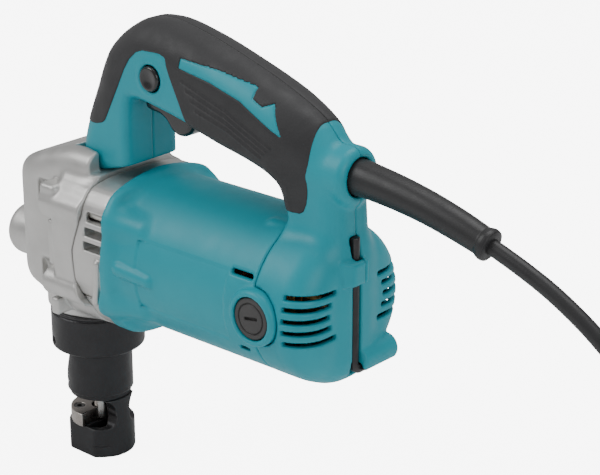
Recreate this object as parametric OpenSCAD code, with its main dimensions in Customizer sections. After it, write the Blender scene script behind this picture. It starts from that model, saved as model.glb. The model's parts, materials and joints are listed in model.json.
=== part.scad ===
// Hand-held electric nibbler. Origin: punch axis at the sole of the die holder.
// +Z runs up the punch, +X back along the motor, -Y is the tool's left side.

/* [Motor casing] */
// Height of the motor axis above the sole of the die holder
motor_z = 120.7; // [112:0.1:135]
// Outer radius of the motor barrel
barrel_r = 36.3; // [32:0.1:44]
// Length of the barrel, from its front joint face to the rear cover
barrel_len = 93.4; // [82:0.1:115]
// Wall of the moulded casings
case_wall = 2.6; // [2:0.1:3.2]
// Length of the rear cover behind the barrel
cover_len = 30.6; // [28:0.1:38]
// Radius of the brush boss on each side of the barrel
boss_r = 12.8; // [11.5:0.1:15]

/* [Handle] */
// Height of the handle above the motor axis
handle_h = 111; // [104:0.5:133]
// Half of the handle's width
handle_half_w = 17; // [15:0.1:20.4]
// Thickness of the grip from its back to the finger side
grip_t = 36; // [32:0.5:40]
// Travel of the trigger at its front edge, as an angle
trigger_swing = 8; // [5:0.5:9]
// Radius of the lock-on button
button_r = 5.8; // [4.8:0.1:6.9]
// Travel of the lock-on button
button_travel = 3; // [2:0.1:3.4]

/* [Gear head] */
// Half width of the head's joint flange
flange_half_w = 36.5; // [35.5:0.1:43]
// Wall of the cast housings
cast_wall = 4; // [3.2:0.1:4.6]
// Radius of the nose in front of the crank bearing
nose_r = 15.5; // [14:0.1:17]
// Height of the dome's top above the motor axis
dome_h = 44.3; // [42:0.1:54]
// Module of the first gear stage
module_1 = 0.65; // [0.58:0.01:0.68]
// Module of the second gear stage
module_2 = 1; // [0.9:0.01:1.08]
// Face width of the gears
gear_face = 8; // [6.5:0.1:9]
// Throw of the eccentric, half of the punch stroke
throw = 3; // [2.4:0.1:3.6]

/* [Punch and die] */
// Outer radius of the lock nut
nut_r = 23; // [21.5:0.1:28]
// Height of the lock nut
nut_h = 22; // [19:0.1:24]
// Height of the lock nut's lower face above the sole
nut_z = 57; // [55:0.1:60]
// Outer radius of the die holder
holder_r = 16.5; // [15.5:0.1:17.5]
// Radius of the punch
punch_r = 4.6; // [3.8:0.1:5.5]
// Radius of the ram that drives the punch
ram_r = 10; // [9:0.1:11]
// Height of the top of the die above the sole
die_top = 22.5; // [20:0.1:24]
// Open height of the sheet slot over the die
slot_h = 8.5; // [7:0.1:10]

/* [Cord and wrench] */
// Diameter of the cord
cord_d = 7; // [6:0.1:8.4]
// Width across the flats of the stored hex wrench
wrench_af = 4; // [3.3:0.1:4.8]

/* [Hidden] */
$fn = 72;

teal = [0.05, 0.62, 0.70];
soft_grey = [0.20, 0.20, 0.21];
cast_grey = [0.70, 0.70, 0.69];
black_steel = [0.17, 0.17, 0.18];
bright_steel = [0.78, 0.78, 0.80];
black_plastic = [0.06, 0.06, 0.07];
copper = [0.72, 0.43, 0.25];
brass = [0.78, 0.64, 0.32];
bronze = [0.62, 0.47, 0.28];
carbon = [0.14, 0.14, 0.15];

// Clearances: a running fit and a gap between loose pieces
run_fit = 0.05;
loose_fit = 0.3;

// Places along the motor axis, from the punch axis back
barrel_x = 44;
seam_x = barrel_x + barrel_len;
cover_x = seam_x + cover_len;
box_x = 24;
flange_x = 9;
shoulder_len = 20;
brush_x = seam_x + 1.4;
barrel_in = barrel_r - case_wall;
boss_y = barrel_r + 2.4;
boss_in = boss_r - case_wall - 0.6;

// Motor
shaft_r = 4;
front_bearing = [9.5, 6];
rear_bearing = [8, 5];
front_bearing_x = barrel_x - front_bearing[1] - 0.5;
rear_bearing_x = brush_x + 14;
fan_x = barrel_x + 2.5;
fan_r = barrel_in - 4;
fan_len = 11;
field_x = fan_x + fan_len + 9;
field_end = seam_x - 20;
core_r = 18.4;
air_gap = 0.8;
bracket_r = core_r + 6.4;
commutator_r = 13;
commutator_x = brush_x - 7;
commutator_len = 14;
brush_size = [6.5, 9];

// Gears: teeth of the armature pinion, idler wheel, idler pinion and crank wheel
teeth_1 = 10;
teeth_2 = 42;
teeth_3 = 12;
teeth_4 = 40;
idler_z = motor_z + module_1 * (teeth_1 + teeth_2) / 2;
crank_z = idler_z - module_2 * (teeth_3 + teeth_4) / 2;
plate_x = 6;
plate_t = 6.5;
crank_gear_x = plate_x + plate_t + 1.4;
idler_gear_x = crank_gear_x + gear_face + 2;
idler_bearing = [6.5, 5];
idler_back_x = idler_gear_x + gear_face + 1.4;
idler_r = 3;
crank_bearing = [12, plate_t];
crank_r = 6;
nose_bearing = [9.5, 7];
nose_bearing_x = -26;
nose_journal_r = 4.5;
eccentric_r = 5;
eccentric_bearing_r = 7;
rod_t = 7;
// The big end clears the eccentric bearing wherever crank and ram stand
big_end_bore = eccentric_bearing_r + throw * (1 + sqrt(2)) + loose_fit;
big_end_r = big_end_bore + 2.2;

// Ram, sleeve and neck of the head
nut_top = nut_z + nut_h;
spanner_r = 1.9;
spanner_depth = 2.6;
spanner_turns = [65.4, 245.4];
sleeve_r = ram_r + 3.4;
spigot_r = nut_r - 3.2;
neck_r = nut_r + 1;
spigot_low = nut_z + 10.5;
seal_h = 2.2;
sleeve_z = spigot_low + seal_h + 0.3;
wrist_z = nut_top + 8;
wrist_r = 3;
ram_z = nut_z + 4;
ram_top = wrist_z + 5.5;
sleeve_top = ram_top + throw + 0.5;
sleeve_end = crank_z - throw - big_end_r + 0.8;
crank_room = big_end_r + throw * sqrt(2) + 0.4;
crank_room_x = -rod_t / 2 - 8;
plate_seat = 2.6;
plate_screw_r = 1;
cavity_y = crank_room + plate_seat;
dome_r = cavity_y + cast_wall;
idler_room = module_1 * (teeth_2 / 2 + 1) + 0.8;
dome_x = -9;
dome_end = flange_x - 1.5;
dome_axis = motor_z + dome_h - dome_r;
nose_x = -37;
nose_z = crank_z - 2;

// Die holder
foot_h = 15.5;
die_r = holder_r - 1.2;
die_face_x = 2;
throat_top = die_top + slot_h;
punch_tip = die_top - 6.5;
punch_head_r = punch_r + 1.4;
punch_head_h = 9;
die_screw_places = [[-7, -8.6], [-7, 8.6]];
die_screw_r = 1.6;
die_screw_head = 2.7;
neck_w = 2 * punch_r - 1.4;
holder_flange_r = nut_r - 4;
holder_flange_z = nut_z + 6;
holder_flange_h = 4;

// Handle
front_x = 8;
post_back_x = 43;
top_z = motor_z + handle_h;
post_z = motor_z + barrel_r - 1.5;
rear_x = cover_x - 2.5;
skin_t = 2;
handle_wall = 2.8;
rear_post_x = rear_x - 28;
grip_low_z = top_z - 11 - grip_t;
button_pos = [60, top_z - 24.7];
trigger_hinge = [79, grip_low_z + 7];
trigger_half_w = 8;
trigger_rise = 30 * sin(trigger_swing);
switch_half_w = trigger_half_w + 0.8;
button_out = 1.8;
button_in = switch_half_w + button_travel + 0.6;
cord_z = top_z - 50.7;
cord_exit_x = rear_x + 3.5;
guard_r = 8.5;
guard_end_r = 5.8;

// Wrench store on the rear cover
wrench_r = wrench_af / sqrt(3);
wrench_x = cover_x - 2.2;
wrench_y = -1.5;
wrench_low = motor_z - 28.2;
wrench_len = 62;
wrench_arm = 24;
wrench_shift = 5;

// The guard and the cord: round numbers along the middle of each
guard_path = [
    [cord_exit_x - 14, 0, cord_z], [cord_exit_x, 0, cord_z], [179, 0, 180], [191, 0, 178.4],
    [204, 0, 176], [218, 0, 172.5], [228, 0, 169.5], [236, 0, 167]
];
cord_path = [
    [236, 0, 167], [250, 0, 162], [265, 0, 155.5], [280, 0, 147], [292, 0, 138.5], [304, 1, 128],
    [316, 2.5, 114.5], [327, 5, 99], [337, 8, 82], [347, 12, 64], [357, 16.5, 47], [368, 21, 32],
    [380, 26, 20], [393, 30, 11.5], [407, 33, 6.3], [421, 35, 3.9], [432, 35.5, 3.5], [440, 35.5, 3.5]
];
coil_turn_r = 41;
coil_centre = [440, -9];
coil_tie_turn = 20;
coil_layers = 4;
plug_tail = [
    [484.5, -9, 24.5], [481.8, -24.2, 26.2], [474.1, -37.6, 28.8], [462.1, -47.4, 31.5],
    [447.6, -51.9, 32.2], [432.6, -51.1, 32.6], [419, -45.4, 33], [408.6, -35.4, 33.4],
    [402.4, -22.7, 33.8], [401.2, -9, 34.2], [404.9, 3.8, 34.7], [412.6, 14, 35.3],
    [423, 20.4, 35.8], [432.1, 22.6, 36.1], [440, 23, 36.2], [446, 23, 36.2]
];
plug_pos = [446, 23, 36.2];
plug_r = 8;
plug_len = 36;
pin_r = 2;
pin_len = 18;
pin_y = 4.5;

// ---------------------------------------------------------------- helpers

// Cylinder along X, between two places
module bar_x(r, x0, x1, z = 0, y = 0) {
    translate([x0, y, z]) rotate([0, 90, 0]) cylinder(r = r, h = x1 - x0);
}

// Cylinder along Y, between two places
module bar_y(r, y0, y1, x = 0, z = 0) {
    translate([x, y0, z]) rotate([-90, 0, 0]) cylinder(r = r, h = y1 - y0);
}

module bar_z(r, z0, z1, x = 0, y = 0) {
    translate([x, y, z0]) cylinder(r = r, h = z1 - z0);
}

// Ring along X
module ring_x(r_out, r_in, x0, x1, z = 0) {
    difference() {
        bar_x(r_out, x0, x1, z);
        bar_x(r_in, x0 - 1, x1 + 1, z);
    }
}

// Solid of revolution about the motor axis: points are [x, radius]
module spin_x(points, z = motor_z) {
    translate([0, 0, z]) rotate([0, 90, 0]) rotate_extrude()
        polygon([for (p = points) [p[1], p[0]]]);
}

// Extrusion of an outline drawn in X and Z, from y0 to y1
module side_plate(points, y0, y1) {
    translate([0, y1, 0]) rotate([90, 0, 0]) linear_extrude(y1 - y0) polygon(points);
}

// Extrusion of an outline drawn in Y and Z, from x0 to x1
module cross_plate(points, x0, x1) {
    translate([x0, 0, 0]) rotate([90, 0, 90]) linear_extrude(x1 - x0) polygon(points);
}

module box(low, high) {
    translate(low) cube(high - low);
}

// Half space on one side of the middle plane: side is -1 for left, 1 for right
module half_space(side) {
    translate([-200, side < 0 ? -200 : 0, -50]) cube([800, 200, 400]);
}

// Outline whose corners are softened by a curve of the given reach
function softened(points, reach, steps = 5) = [
    for (i = [0 : len(points) - 1])
        let (p = points[i],
             a = points[(i + len(points) - 1) % len(points)],
             b = points[(i + 1) % len(points)],
             from = p + (a - p) * min(0.5, reach / norm(a - p)),
             to = p + (b - p) * min(0.5, reach / norm(b - p)))
        for (k = [0 : steps])
            let (t = k / steps)
            from * pow(1 - t, 2) + p * 2 * t * (1 - t) + to * pow(t, 2)
];

// Spur gear outline: flanks are straight and thin enough to run with backlash
function gear_outline(teeth, m, phase = 0) = [
    for (i = [0 : teeth - 1])
        let (a = phase + i * 360 / teeth, pitch = m * teeth / 2, step = 90 / teeth)
        for (c = [[-1.16, -1.2], [-0.83, 0], [-0.36, 0.85], [0.36, 0.85], [0.83, 0], [1.16, -1.2]])
            (pitch + c[1] * m) * [sin(a + c[0] * step), cos(a + c[0] * step)]
];

// Gear along X with teeth counted from straight up
module gear_x(teeth, m, x0, x1, z, bore, phase = 0) {
    translate([0, 0, z]) difference() {
        cross_plate(gear_outline(teeth, m, phase), x0, x1);
        bar_x(bore, x0 - 1, x1 + 1);
    }
}

// Point on a smooth curve through the path's points, at u from 0 to len - 1
function path_point(path, u) =
    let (n = len(path), i = min(n - 2, floor(u)), t = u - i,
         a = path[max(0, i - 1)], b = path[i], c = path[i + 1], d = path[min(n - 1, i + 2)])
    0.5 * (2 * b + (c - a) * t + (2 * a - 5 * b + 4 * c - d) * t * t
           + (3 * b - a - 3 * c + d) * pow(t, 3));

// Value of a list at u, from 0 to its length - 1, in straight steps
function list_value(values, u) =
    let (i = min(len(values) - 2, floor(u)), t = u - i)
    values[i] * (1 - t) + values[i + 1] * t;

// Round tube swept along a path, with a radius for each of its points
module swept(path, radii, rings, sides = 10) {
    n = len(path) - 1;
    frames = [
        for (i = [0 : rings])
            let (u = n * i / rings,
                 p = path_point(path, u),
                 d = path_point(path, min(n, u + 0.02)) - path_point(path, max(0, u - 0.02)),
                 tangent = d / norm(d),
                 side_raw = cross(tangent, [0.05, 1, 0.02]),
                 side = side_raw / norm(side_raw))
            [p, side, cross(tangent, side), list_value(radii, u)]
    ];
    points = [
        for (f = frames)
            for (k = [0 : sides - 1])
                f[0] + f[3] * (cos(k * 360 / sides) * f[1] + sin(k * 360 / sides) * f[2])
    ];
    skin = [
        for (i = [0 : rings - 1])
            for (k = [0 : sides - 1])
                let (k2 = (k + 1) % sides)
                [i * sides + k, (i + 1) * sides + k, (i + 1) * sides + k2, i * sides + k2]
    ];
    first_cap = [for (k = [0 : sides - 1]) k];
    last_cap = [for (k = [sides - 1 : -1 : 0]) rings * sides + k];
    polyhedron(points = points, faces = concat([first_cap], skin, [last_cap]), convexity = 6);
}

// ---------------------------------------------------------------- outlines

// Joint flange between the head and the motor, in Y and Z; inset shrinks it
function flange_outline(inset = 0) =
    let (w = flange_half_w - inset, top = post_z - inset, low = nut_top + 1 + inset, low_w = nut_r - 1)
    softened([
        [-w, motor_z + 22], [-w + 9, top], [w - 9, top], [w, motor_z + 22],
        [w, motor_z - 18], [low_w, low], [-low_w, low], [-w, motor_z - 18]
    ], 9);

// Handle seen from the side: the outer line, from the foot of the front post round to the rear
function handle_outer() = concat(
    [[front_x, post_z + 0.8], [front_x + 1.5, post_z + 14], [front_x + 6.5, post_z + 32],
     [front_x + 13.5, post_z + 50]],
    [for (k = [0 : 5]) let (t = k / 5, a = [front_x + 18, top_z - 16], b = [front_x + 26, top_z - 2],
                            c = [front_x + 46, top_z])
        a * pow(1 - t, 2) + b * 2 * t * (1 - t) + c * t * t],
    [[front_x + 62, top_z - 1.5], [front_x + 80, top_z - 5.5]],
    [for (k = [0 : 7]) let (t = k / 7, a = [rear_x - 44, top_z - 17], b = [rear_x - 8, top_z - 27],
                            c = [rear_x, top_z - 44])
        a * pow(1 - t, 2) + b * 2 * t * (1 - t) + c * t * t],
    [[rear_x + 2.5, top_z - 52], [rear_x + 1, top_z - 62], [rear_x, top_z - 72]]
);

// The finger opening of the handle, in the same view
function handle_hole() = concat(
    [[post_back_x, post_z + 3], [post_back_x, grip_low_z + 7]],
    [[post_back_x + 5, grip_low_z + 9], [trigger_hinge[0] - 2, grip_low_z + 5.5]],
    [[trigger_hinge[0] + 18, grip_low_z + 1]],
    [for (k = [0 : 5]) let (t = k / 5, a = [rear_post_x - 18, grip_low_z - 4],
                            b = [rear_post_x, grip_low_z - 8], c = [rear_post_x, grip_low_z - 20])
        a * pow(1 - t, 2) + b * 2 * t * (1 - t) + c * t * t],
    [[rear_post_x, post_z + 4]]
);

// Foot of the rear post, where it runs into the rear cover
handle_foot = [[rear_x, post_z - 12], [rear_post_x - 4, post_z - 12], [rear_post_x - 4, post_z + 0.8]];

// Plan of the handle: round at the front, square at the back
module handle_plan(half_w, z0, z1) {
    bar_z(half_w + 0.6, z0, z1, front_x + half_w + 0.6);
    box([front_x + half_w + 0.6, -half_w, z0], [cover_x + 6, half_w, z1]);
}

// Solid body of the handle, before it is hollowed and split
module handle_body(half_w = handle_half_w) {
    intersection() {
        difference() {
            side_plate(concat(handle_outer(), handle_foot), -half_w, half_w);
            side_plate(handle_hole(), -half_w - 1, half_w + 1);
            box([post_back_x, -half_w - 1, post_z - 20], [rear_post_x, half_w + 1, post_z + 5]);
        }
        handle_plan(half_w, post_z - 20, top_z + 1);
    }
}

// Where the soft grip covers the side of the handle
function grip_outline() = [
    [front_x + 5, post_z + 26], [front_x + 15, post_z + 24], [front_x + 25, post_z + 34],
    [front_x + 40, top_z - 13], [front_x + 59, top_z - 14], [front_x + 72, grip_low_z + 12],
    [rear_post_x - 10, grip_low_z - 1], [rear_post_x + 3, grip_low_z - 10],
    [rear_post_x + 3, post_z + 12], [rear_post_x + 12, post_z + 14],
    [rear_post_x + 13, top_z - 42], [rear_x - 14, top_z - 32], [rear_x - 24, top_z - 28],
    [front_x + 84, top_z - 9], [front_x + 50, top_z - 3.5], [front_x + 30, top_z - 8],
    [front_x + 18, top_z - 22]
];

// Rear cover: a deep cup around the brush gear
cover_profile = concat(
    [[seam_x + 0.2, 0], [seam_x + 0.2, barrel_r], [seam_x + 6, barrel_r]],
    [for (k = [0 : 6]) let (t = k / 6, a = [seam_x + 12, barrel_r - 0.6], b = [cover_x - 1, barrel_r - 3],
                            c = [cover_x, barrel_r - 20])
        a * pow(1 - t, 2) + b * 2 * t * (1 - t) + c * t * t],
    [[cover_x, 0]]
);
cover_hollow = concat(
    [[seam_x - 1, 0], [seam_x - 1, barrel_in], [seam_x + 6, barrel_in]],
    [for (k = [0 : 6]) let (t = k / 6, a = [seam_x + 11, barrel_in - 0.6],
                            b = [cover_x - case_wall - 1.6, barrel_in - 3],
                            c = [cover_x - case_wall - 3.4, barrel_in - 19])
        a * pow(1 - t, 2) + b * 2 * t * (1 - t) + c * t * t],
    [[cover_x - case_wall - 3.4, 0]]
);

vent_pitch = 6.2;
vent_h = 2.6;

handle_screw_r = 1.9;
boss_wall = 2;

// Screw places on the handle, in X and Z
handle_screw_places = [
    [30, post_z + 12], [36, top_z - 15], [100, top_z - 26], [rear_x - 12, top_z - 62],
    [rear_x - 14, motor_z - bracket_r - handle_screw_r - boss_wall - 0.6]
];

module handle_hollow() {
    inner = handle_half_w - handle_wall;
    side_plate([[front_x + 8, post_z + 4], [post_back_x - 3, post_z + 4], [post_back_x - 3, top_z - 33],
                [front_x + 20, top_z - 33]], -inner, inner);
    side_plate([[front_x + 26, top_z - 33], [front_x + 34, top_z - 7], [front_x + 62, top_z - 8],
                [front_x + 76, top_z - 11], [rear_x - 46, top_z - 23], [rear_x - 24, top_z - 35],
                [rear_x - 24, top_z - 50], [rear_post_x - 16, grip_low_z + 3],
                [trigger_hinge[0] + 18, grip_low_z + 6], [trigger_hinge[0] + 5, grip_low_z + 12],
                [front_x + 30, top_z - 34]], -inner, inner);
    side_plate([[rear_post_x + 4, post_z - 13], [rear_x - 4, post_z - 13], [rear_x - 4, top_z - 66],
                [rear_x - 16, top_z - 60], [rear_x - 16, top_z - 42], [rear_x - 24, top_z - 35],
                [rear_post_x + 4, grip_low_z - 5]], -inner, inner);
}

// One half of the handle with the rear cover. side is -1 for the left, 1 for the right
module handle_half(side) {
    intersection() {
        half_space(side);
        difference() {
            union() {
                handle_body();
                spin_x(cover_profile);
                bar_x(11.8, rear_x - 16, cord_exit_x, cord_z);
                wrench_boss();
                if (side < 0) {
                    wrench_clip();
                    bar_y(button_r + 2.8, -handle_half_w - 1.2, -handle_half_w + 1, button_pos[0], button_pos[1]);
                }
            }
            difference() {
                handle_hollow();
                handle_bosses(0);
                cord_web();
            }
            difference() {
                spin_x(cover_hollow);
                handle_bosses(0);
            }
            motor_boss_cuts();
            handle_bosses(1);
            cover_vents();
            wrench_channel();
            bar_x(guard_r + 0.02, rear_x - 30, cord_exit_x + 1, cord_z);
            bar_x(guard_r + 2.1, cord_exit_x - 11.1, cord_exit_x - 7.9, cord_z);
            trigger_opening();
            pin_hole();
            if (side < 0) {
                bar_y(button_r + loose_fit, -handle_half_w - 5, 0, button_pos[0], button_pos[1]);
            }
            grip_recess(side);
            clamp_seat();
        }
    }
}

module handle_bosses(hole) {
    for (p = handle_screw_places) {
        bar_y(hole == 1 ? handle_screw_r + 0.1 : handle_screw_r + boss_wall,
              hole == 1 ? -handle_half_w + 5 : -handle_half_w * 2, handle_half_w * 2, p[0], p[1]);
    }
    if (hole == 1) {
        for (p = handle_screw_places) {
            bar_y(handle_screw_r * 2, handle_half_w - 3.2, handle_half_w * 2.5, p[0], p[1]);
        }
    }
}

module cord_web() {
    box([cord_exit_x - 12, -handle_half_w, cord_z - 11.8], [cord_exit_x, handle_half_w, cord_z + 11.8]);
}

module clamp_seat() {
    box([rear_x - 25.5, -11, cord_z - 9.3], [rear_x - 14.8, 11, cord_z + 8.3]);
}

// Room for the brush bosses and the motor's rear bracket
module motor_boss_cuts() {
    bar_y(boss_r + loose_fit, -boss_y - 5, boss_y + 5, brush_x, motor_z);
}

// Slots round the two rear quarters of the cover
module cover_vents() {
    for (k = [-2 : 2]) {
        z = motor_z + k * vent_pitch;
        for (side = [-1, 1]) {
            translate([seam_x + 20.6, side * 28, z - vent_h / 2])
                rotate([0, 0, side * -35]) translate([-15 + abs(k), -14, 0]) cube([30 - 2 * abs(k), 28, vent_h]);
        }
    }
}

module wrench_boss() {
    bar_y(6, 1, 30, wrench_x - 0.5, wrench_low);
    box([wrench_x - 12, 1, wrench_low], [wrench_x - 0.5, 29, wrench_low + 6]);
}

module wrench_channel() {
    box([wrench_x - wrench_r - 0.7, wrench_y - wrench_r - 0.8, wrench_low - 8],
        [cover_x + 8, wrench_y + wrench_r + wrench_shift + 0.8, wrench_low + 37.4]);
    box([wrench_x - wrench_r - 0.7, wrench_y - wrench_r - 0.8, wrench_low + 37],
        [wrench_x + wrench_r + 0.5, wrench_y + wrench_r + wrench_shift + 0.8, wrench_low + wrench_len + 2]);
    box([wrench_x + 1, wrench_y + wrench_r + 1, wrench_low + 37],
        [cover_x + 8, wrench_y + wrench_r + wrench_shift + 0.8, wrench_low + wrench_len + 2]);
    bar_y(wrench_r + 0.3, -1, wrench_arm + wrench_shift + 2, wrench_x, wrench_low);
}

// Hook that holds the long arm of the wrench, open to the right
module wrench_clip() {
    box([wrench_x - 4, -14, wrench_low + 40.5], [wrench_x + wrench_r + 2.6, wrench_y + wrench_r + 0.9, wrench_low + 54]);
}

module trigger_opening() {
    side_plate([[post_back_x - 1, grip_low_z - 4], [post_back_x + 1.5, grip_low_z + 22 + trigger_rise],
                [trigger_hinge[0] + 4, grip_low_z + 14 + trigger_rise], [trigger_hinge[0] + 4, grip_low_z - 4]],
               -trigger_half_w - 0.6, trigger_half_w + 0.6);
}

module pin_hole() {
    bar_y(1.5, -handle_half_w + 4, handle_half_w - 4, trigger_hinge[0], trigger_hinge[1]);
}

module grip_recess(side) {
    y = handle_half_w - skin_t;
    if (side < 0) side_plate(grip_outline(), -handle_half_w - 1, -y);
    if (side > 0) side_plate(grip_outline(), y, handle_half_w + 1);
}

// ---------------------------------------------------------------- casings

module motor_housing() {
    color(teal) difference() {
        union() {
            bar_x(barrel_r, barrel_x, seam_x, motor_z);
            cross_plate(flange_outline(), barrel_x, barrel_x + shoulder_len * 0.55);
            cross_plate(flange_outline(2.2), barrel_x + shoulder_len * 0.5, barrel_x + shoulder_len);
            bar_y(boss_r, -boss_y, boss_y, brush_x, motor_z);
            motor_bracket_outer();
        }
        difference() {
            bar_x(barrel_in, barrel_x - 1, seam_x + 0.1, motor_z);
            motor_bracket_outer();
            brush_sockets_outer();
        }
        bar_y(boss_in + 0.02, boss_y - 6, boss_y + 1, brush_x, motor_z);
        bar_y(boss_in + 0.02, -boss_y - 1, 6 - boss_y, brush_x, motor_z);
        bar_x(core_r + 4, barrel_x - 1, rear_bearing_x - 2, motor_z);
        bar_x(rear_bearing[0], rear_bearing_x - 3, rear_bearing_x + rear_bearing[1], motor_z);
        bar_x(shaft_r + 1, rear_bearing_x - 3, rear_bearing_x + 12, motor_z);
        brush_bores();
        housing_screw_holes(barrel_x - 1, barrel_x + shoulder_len - 3, screw_r + 0.02);
        side_slots();
    }
}

// Bracket behind the barrel that carries the rear bearing and the brush holders
module motor_bracket_outer() {
    bar_x(bracket_r, field_end + 3, rear_bearing_x + rear_bearing[1] + 2, motor_z);
}

module brush_sockets_outer() {
    bar_y(boss_r, -barrel_r, barrel_r, brush_x, motor_z);
}

module brush_bores() {
    box([brush_x - brush_size[0] / 2 - 1.5, -boss_y - 1, motor_z - brush_size[1] / 2 - 1.5],
        [brush_x + brush_size[0] / 2 + 1.5, boss_y + 1, motor_z + brush_size[1] / 2 + 1.5]);
}

module side_slots() {
    for (side = [-1, 1]) {
        translate([seam_x - 15, side * barrel_r * 0.86 - 4, motor_z + 16.2]) cube([13, 8, 2.6]);
        translate([seam_x - 14, side * barrel_r * 0.86 - 4, motor_z - 18.6]) cube([6, 8, 2.2]);
    }
}

// Screws that clamp the head, the bearing box and the motor housing together
screw_r = 2.4;
screw_y = flange_half_w - 6.3;
screw_rise = 20;
screw_places = [for (y = [-screw_y, screw_y], z = [-screw_rise, screw_rise]) [y, motor_z + z]];

module housing_screw_holes(x0, x1, r) {
    for (p = screw_places) {
        bar_x(r, x0, x1, p[1], p[0]);
    }
}

module housing_screws() {
    color(bright_steel) for (p = screw_places) {
        bar_x(screw_r, flange_x - 1, barrel_x + shoulder_len - 4, p[1], p[0]);
        difference() {
            bar_x(screw_r * 1.8, flange_x - 5.5, flange_x - 0.5, p[1], p[0]);
            translate([flange_x - 6, p[0], p[1]]) rotate([0, 90, 0]) cylinder(r = screw_r, h = 3, $fn = 6);
        }
    }
}

module gear_housing() {
    color(cast_grey) difference() {
        union() {
            intersection() {
                translate([dome_x, 0, dome_axis]) sphere(r = dome_r);
                box([dome_x - dome_r, -dome_r, dome_axis - dome_r], [dome_x, dome_r, dome_axis + dome_r]);
            }
            bar_z(dome_r, motor_z - 26, dome_axis, dome_x);
            bar_x(dome_r, dome_x, dome_end, dome_axis);
            box([dome_x, -dome_r, motor_z - 26], [box_x, dome_r, dome_axis]);
            bar_x(nose_r, nose_x, dome_x, nose_z);
            translate([nose_x, 0, nose_z]) sphere(r = nose_r);
            cross_plate(flange_outline(), flange_x, box_x);
            bar_z(neck_r, nut_top, motor_z - 10);
            bar_z(spigot_r, spigot_low, nut_top + 1);
            for (p = screw_places) {
                bar_x(7, flange_x - 1, box_x, p[1], p[0]);
            }
        }
        head_cavity();
        plate_screw_bars(plate_screw_r + 0.02, plate_x - 6.5, plate_x + 1);
        bar_x(nose_bearing[0], nose_bearing_x, 0, crank_z);
        bar_x(nose_journal_r + 1, nose_bearing_x - 4, 0, crank_z);
        bar_z(sleeve_r, spigot_low - 1, motor_z);
        bar_z(ram_r + 2, nut_z, motor_z);
        housing_screw_holes(flange_x - 2, box_x + 1, screw_r + 0.1);
        for (p = screw_places) {
            bar_x(screw_r * 1.8 + 0.4, flange_x - 12, flange_x - 0.5, p[1], p[0]);
        }
    }
}

// The room for the gears, the crank and the rod
module head_cavity() {
    bar_x(cavity_y, plate_x, box_x + 1, crank_z);
    bar_x(idler_room, plate_x, box_x + 1, idler_z);
    bar_x(crank_room, crank_room_x, plate_x + 1, crank_z);
    bar_x(crank_room, crank_room_x, plate_x - 2, dome_axis - 3);
    box([crank_room_x, -crank_room, crank_z], [plate_x - 2, crank_room, dome_axis - 3]);
    box([-rod_t / 2 - 1.5, -crank_room, sleeve_top - 1], [plate_x, crank_room, crank_z]);
}

module bearing_box() {
    color(cast_grey) difference() {
        cross_plate(flange_outline(0.8), box_x, barrel_x);
        bar_x(idler_room, box_x - 1, idler_gear_x + gear_face + 1.2, idler_z);
        bar_x(18, box_x - 1, idler_gear_x + gear_face + 1.2, motor_z);
        bar_x(front_bearing[0], front_bearing_x, front_bearing_x + front_bearing[1], motor_z);
        bar_x(front_bearing[0] - 2, box_x, barrel_x + 1, motor_z);
        bar_x(idler_bearing[0], idler_gear_x, idler_back_x + idler_bearing[1], idler_z);
        fan_duct();
        housing_screw_holes(box_x - 1, barrel_x + 1, screw_r + 0.1);
    }
}

// Air from the fan leaves through slots in both sides of the bearing box
module fan_duct() {
    for (side = [-1, 1]) {
        for (k = [0 : 2]) {
            translate([box_x + 9, side > 0 ? 25 : -50, motor_z + 1 + k * 7.4]) cube([12, 25, 4]);
        }
        translate([box_x + 15, side > 0 ? 21.5 : -31, motor_z + 1]) cube([6, 9.5, 18.8]);
    }
    difference() {
        bar_x(fan_r + 1.5, barrel_x - 2, barrel_x + 1, motor_z);
        bar_x(14, barrel_x - 3, barrel_x + 2, motor_z);
        bar_x(idler_bearing[0] + 3, barrel_x - 3, barrel_x + 2, idler_z);
    }
}

module bearing_plate() {
    color(cast_grey) difference() {
        union() {
            bar_x(cavity_y - 0.1, plate_x, plate_x + plate_t, crank_z);
            bar_x(idler_bearing[0] + 4, plate_x, plate_x + plate_t, idler_z);
        }
        bar_x(crank_bearing[0], plate_x - 1, plate_x + plate_t + 1, crank_z);
        bar_x(idler_bearing[0], plate_x + 1.5, plate_x + plate_t + 1, idler_z);
        bar_x(idler_bearing[0] - 2, plate_x - 1, plate_x + 2, idler_z);
        bar_z(sleeve_r + loose_fit, sleeve_z, sleeve_top);
        plate_screw_bars(plate_screw_r + 0.05, plate_x - 1, plate_x + plate_t + 1);
    }
}

module plate_screw_bars(r, x0, x1) {
    place = crank_room + plate_seat / 2;
    for (a = [60, 120, 240, 300]) bar_x(r, x0, x1, crank_z - place * cos(a), place * sin(a));
}

module plate_screws() {
    color(bright_steel) {
        plate_screw_bars(plate_screw_r, plate_x - 6, plate_x + plate_t);
        plate_screw_bars(plate_screw_r * 1.1, plate_x + plate_t, plate_x + plate_t + 0.7);
    }
}

// ---------------------------------------------------------------- handle pieces

module handle_left() {
    color(teal) handle_half(-1);
}

module handle_right() {
    color(teal) handle_half(1);
}

module grip_skin(side) {
    y0 = side < 0 ? -handle_half_w - 0.4 : handle_half_w - skin_t;
    color(soft_grey) intersection() {
        difference() {
            side_plate(grip_outline(), y0, y0 + skin_t + 0.4);
            bar_y(button_r + 3.2, -handle_half_w - 2, 0, button_pos[0], button_pos[1]);
            side_plate(handle_hole(), -handle_half_w - 1, handle_half_w + 1);
            handle_bosses_heads();
        }
        handle_plan(handle_half_w + 0.4, post_z - 20, top_z + 1);
    }
}

module handle_bosses_heads() {
    for (p = handle_screw_places) {
        bar_y(handle_screw_r * 2, handle_half_w - 3.2, handle_half_w * 2.5, p[0], p[1]);
    }
}

module grip_rubber_left() {
    grip_skin(-1);
}

module grip_rubber_right() {
    grip_skin(1);
}

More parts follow.
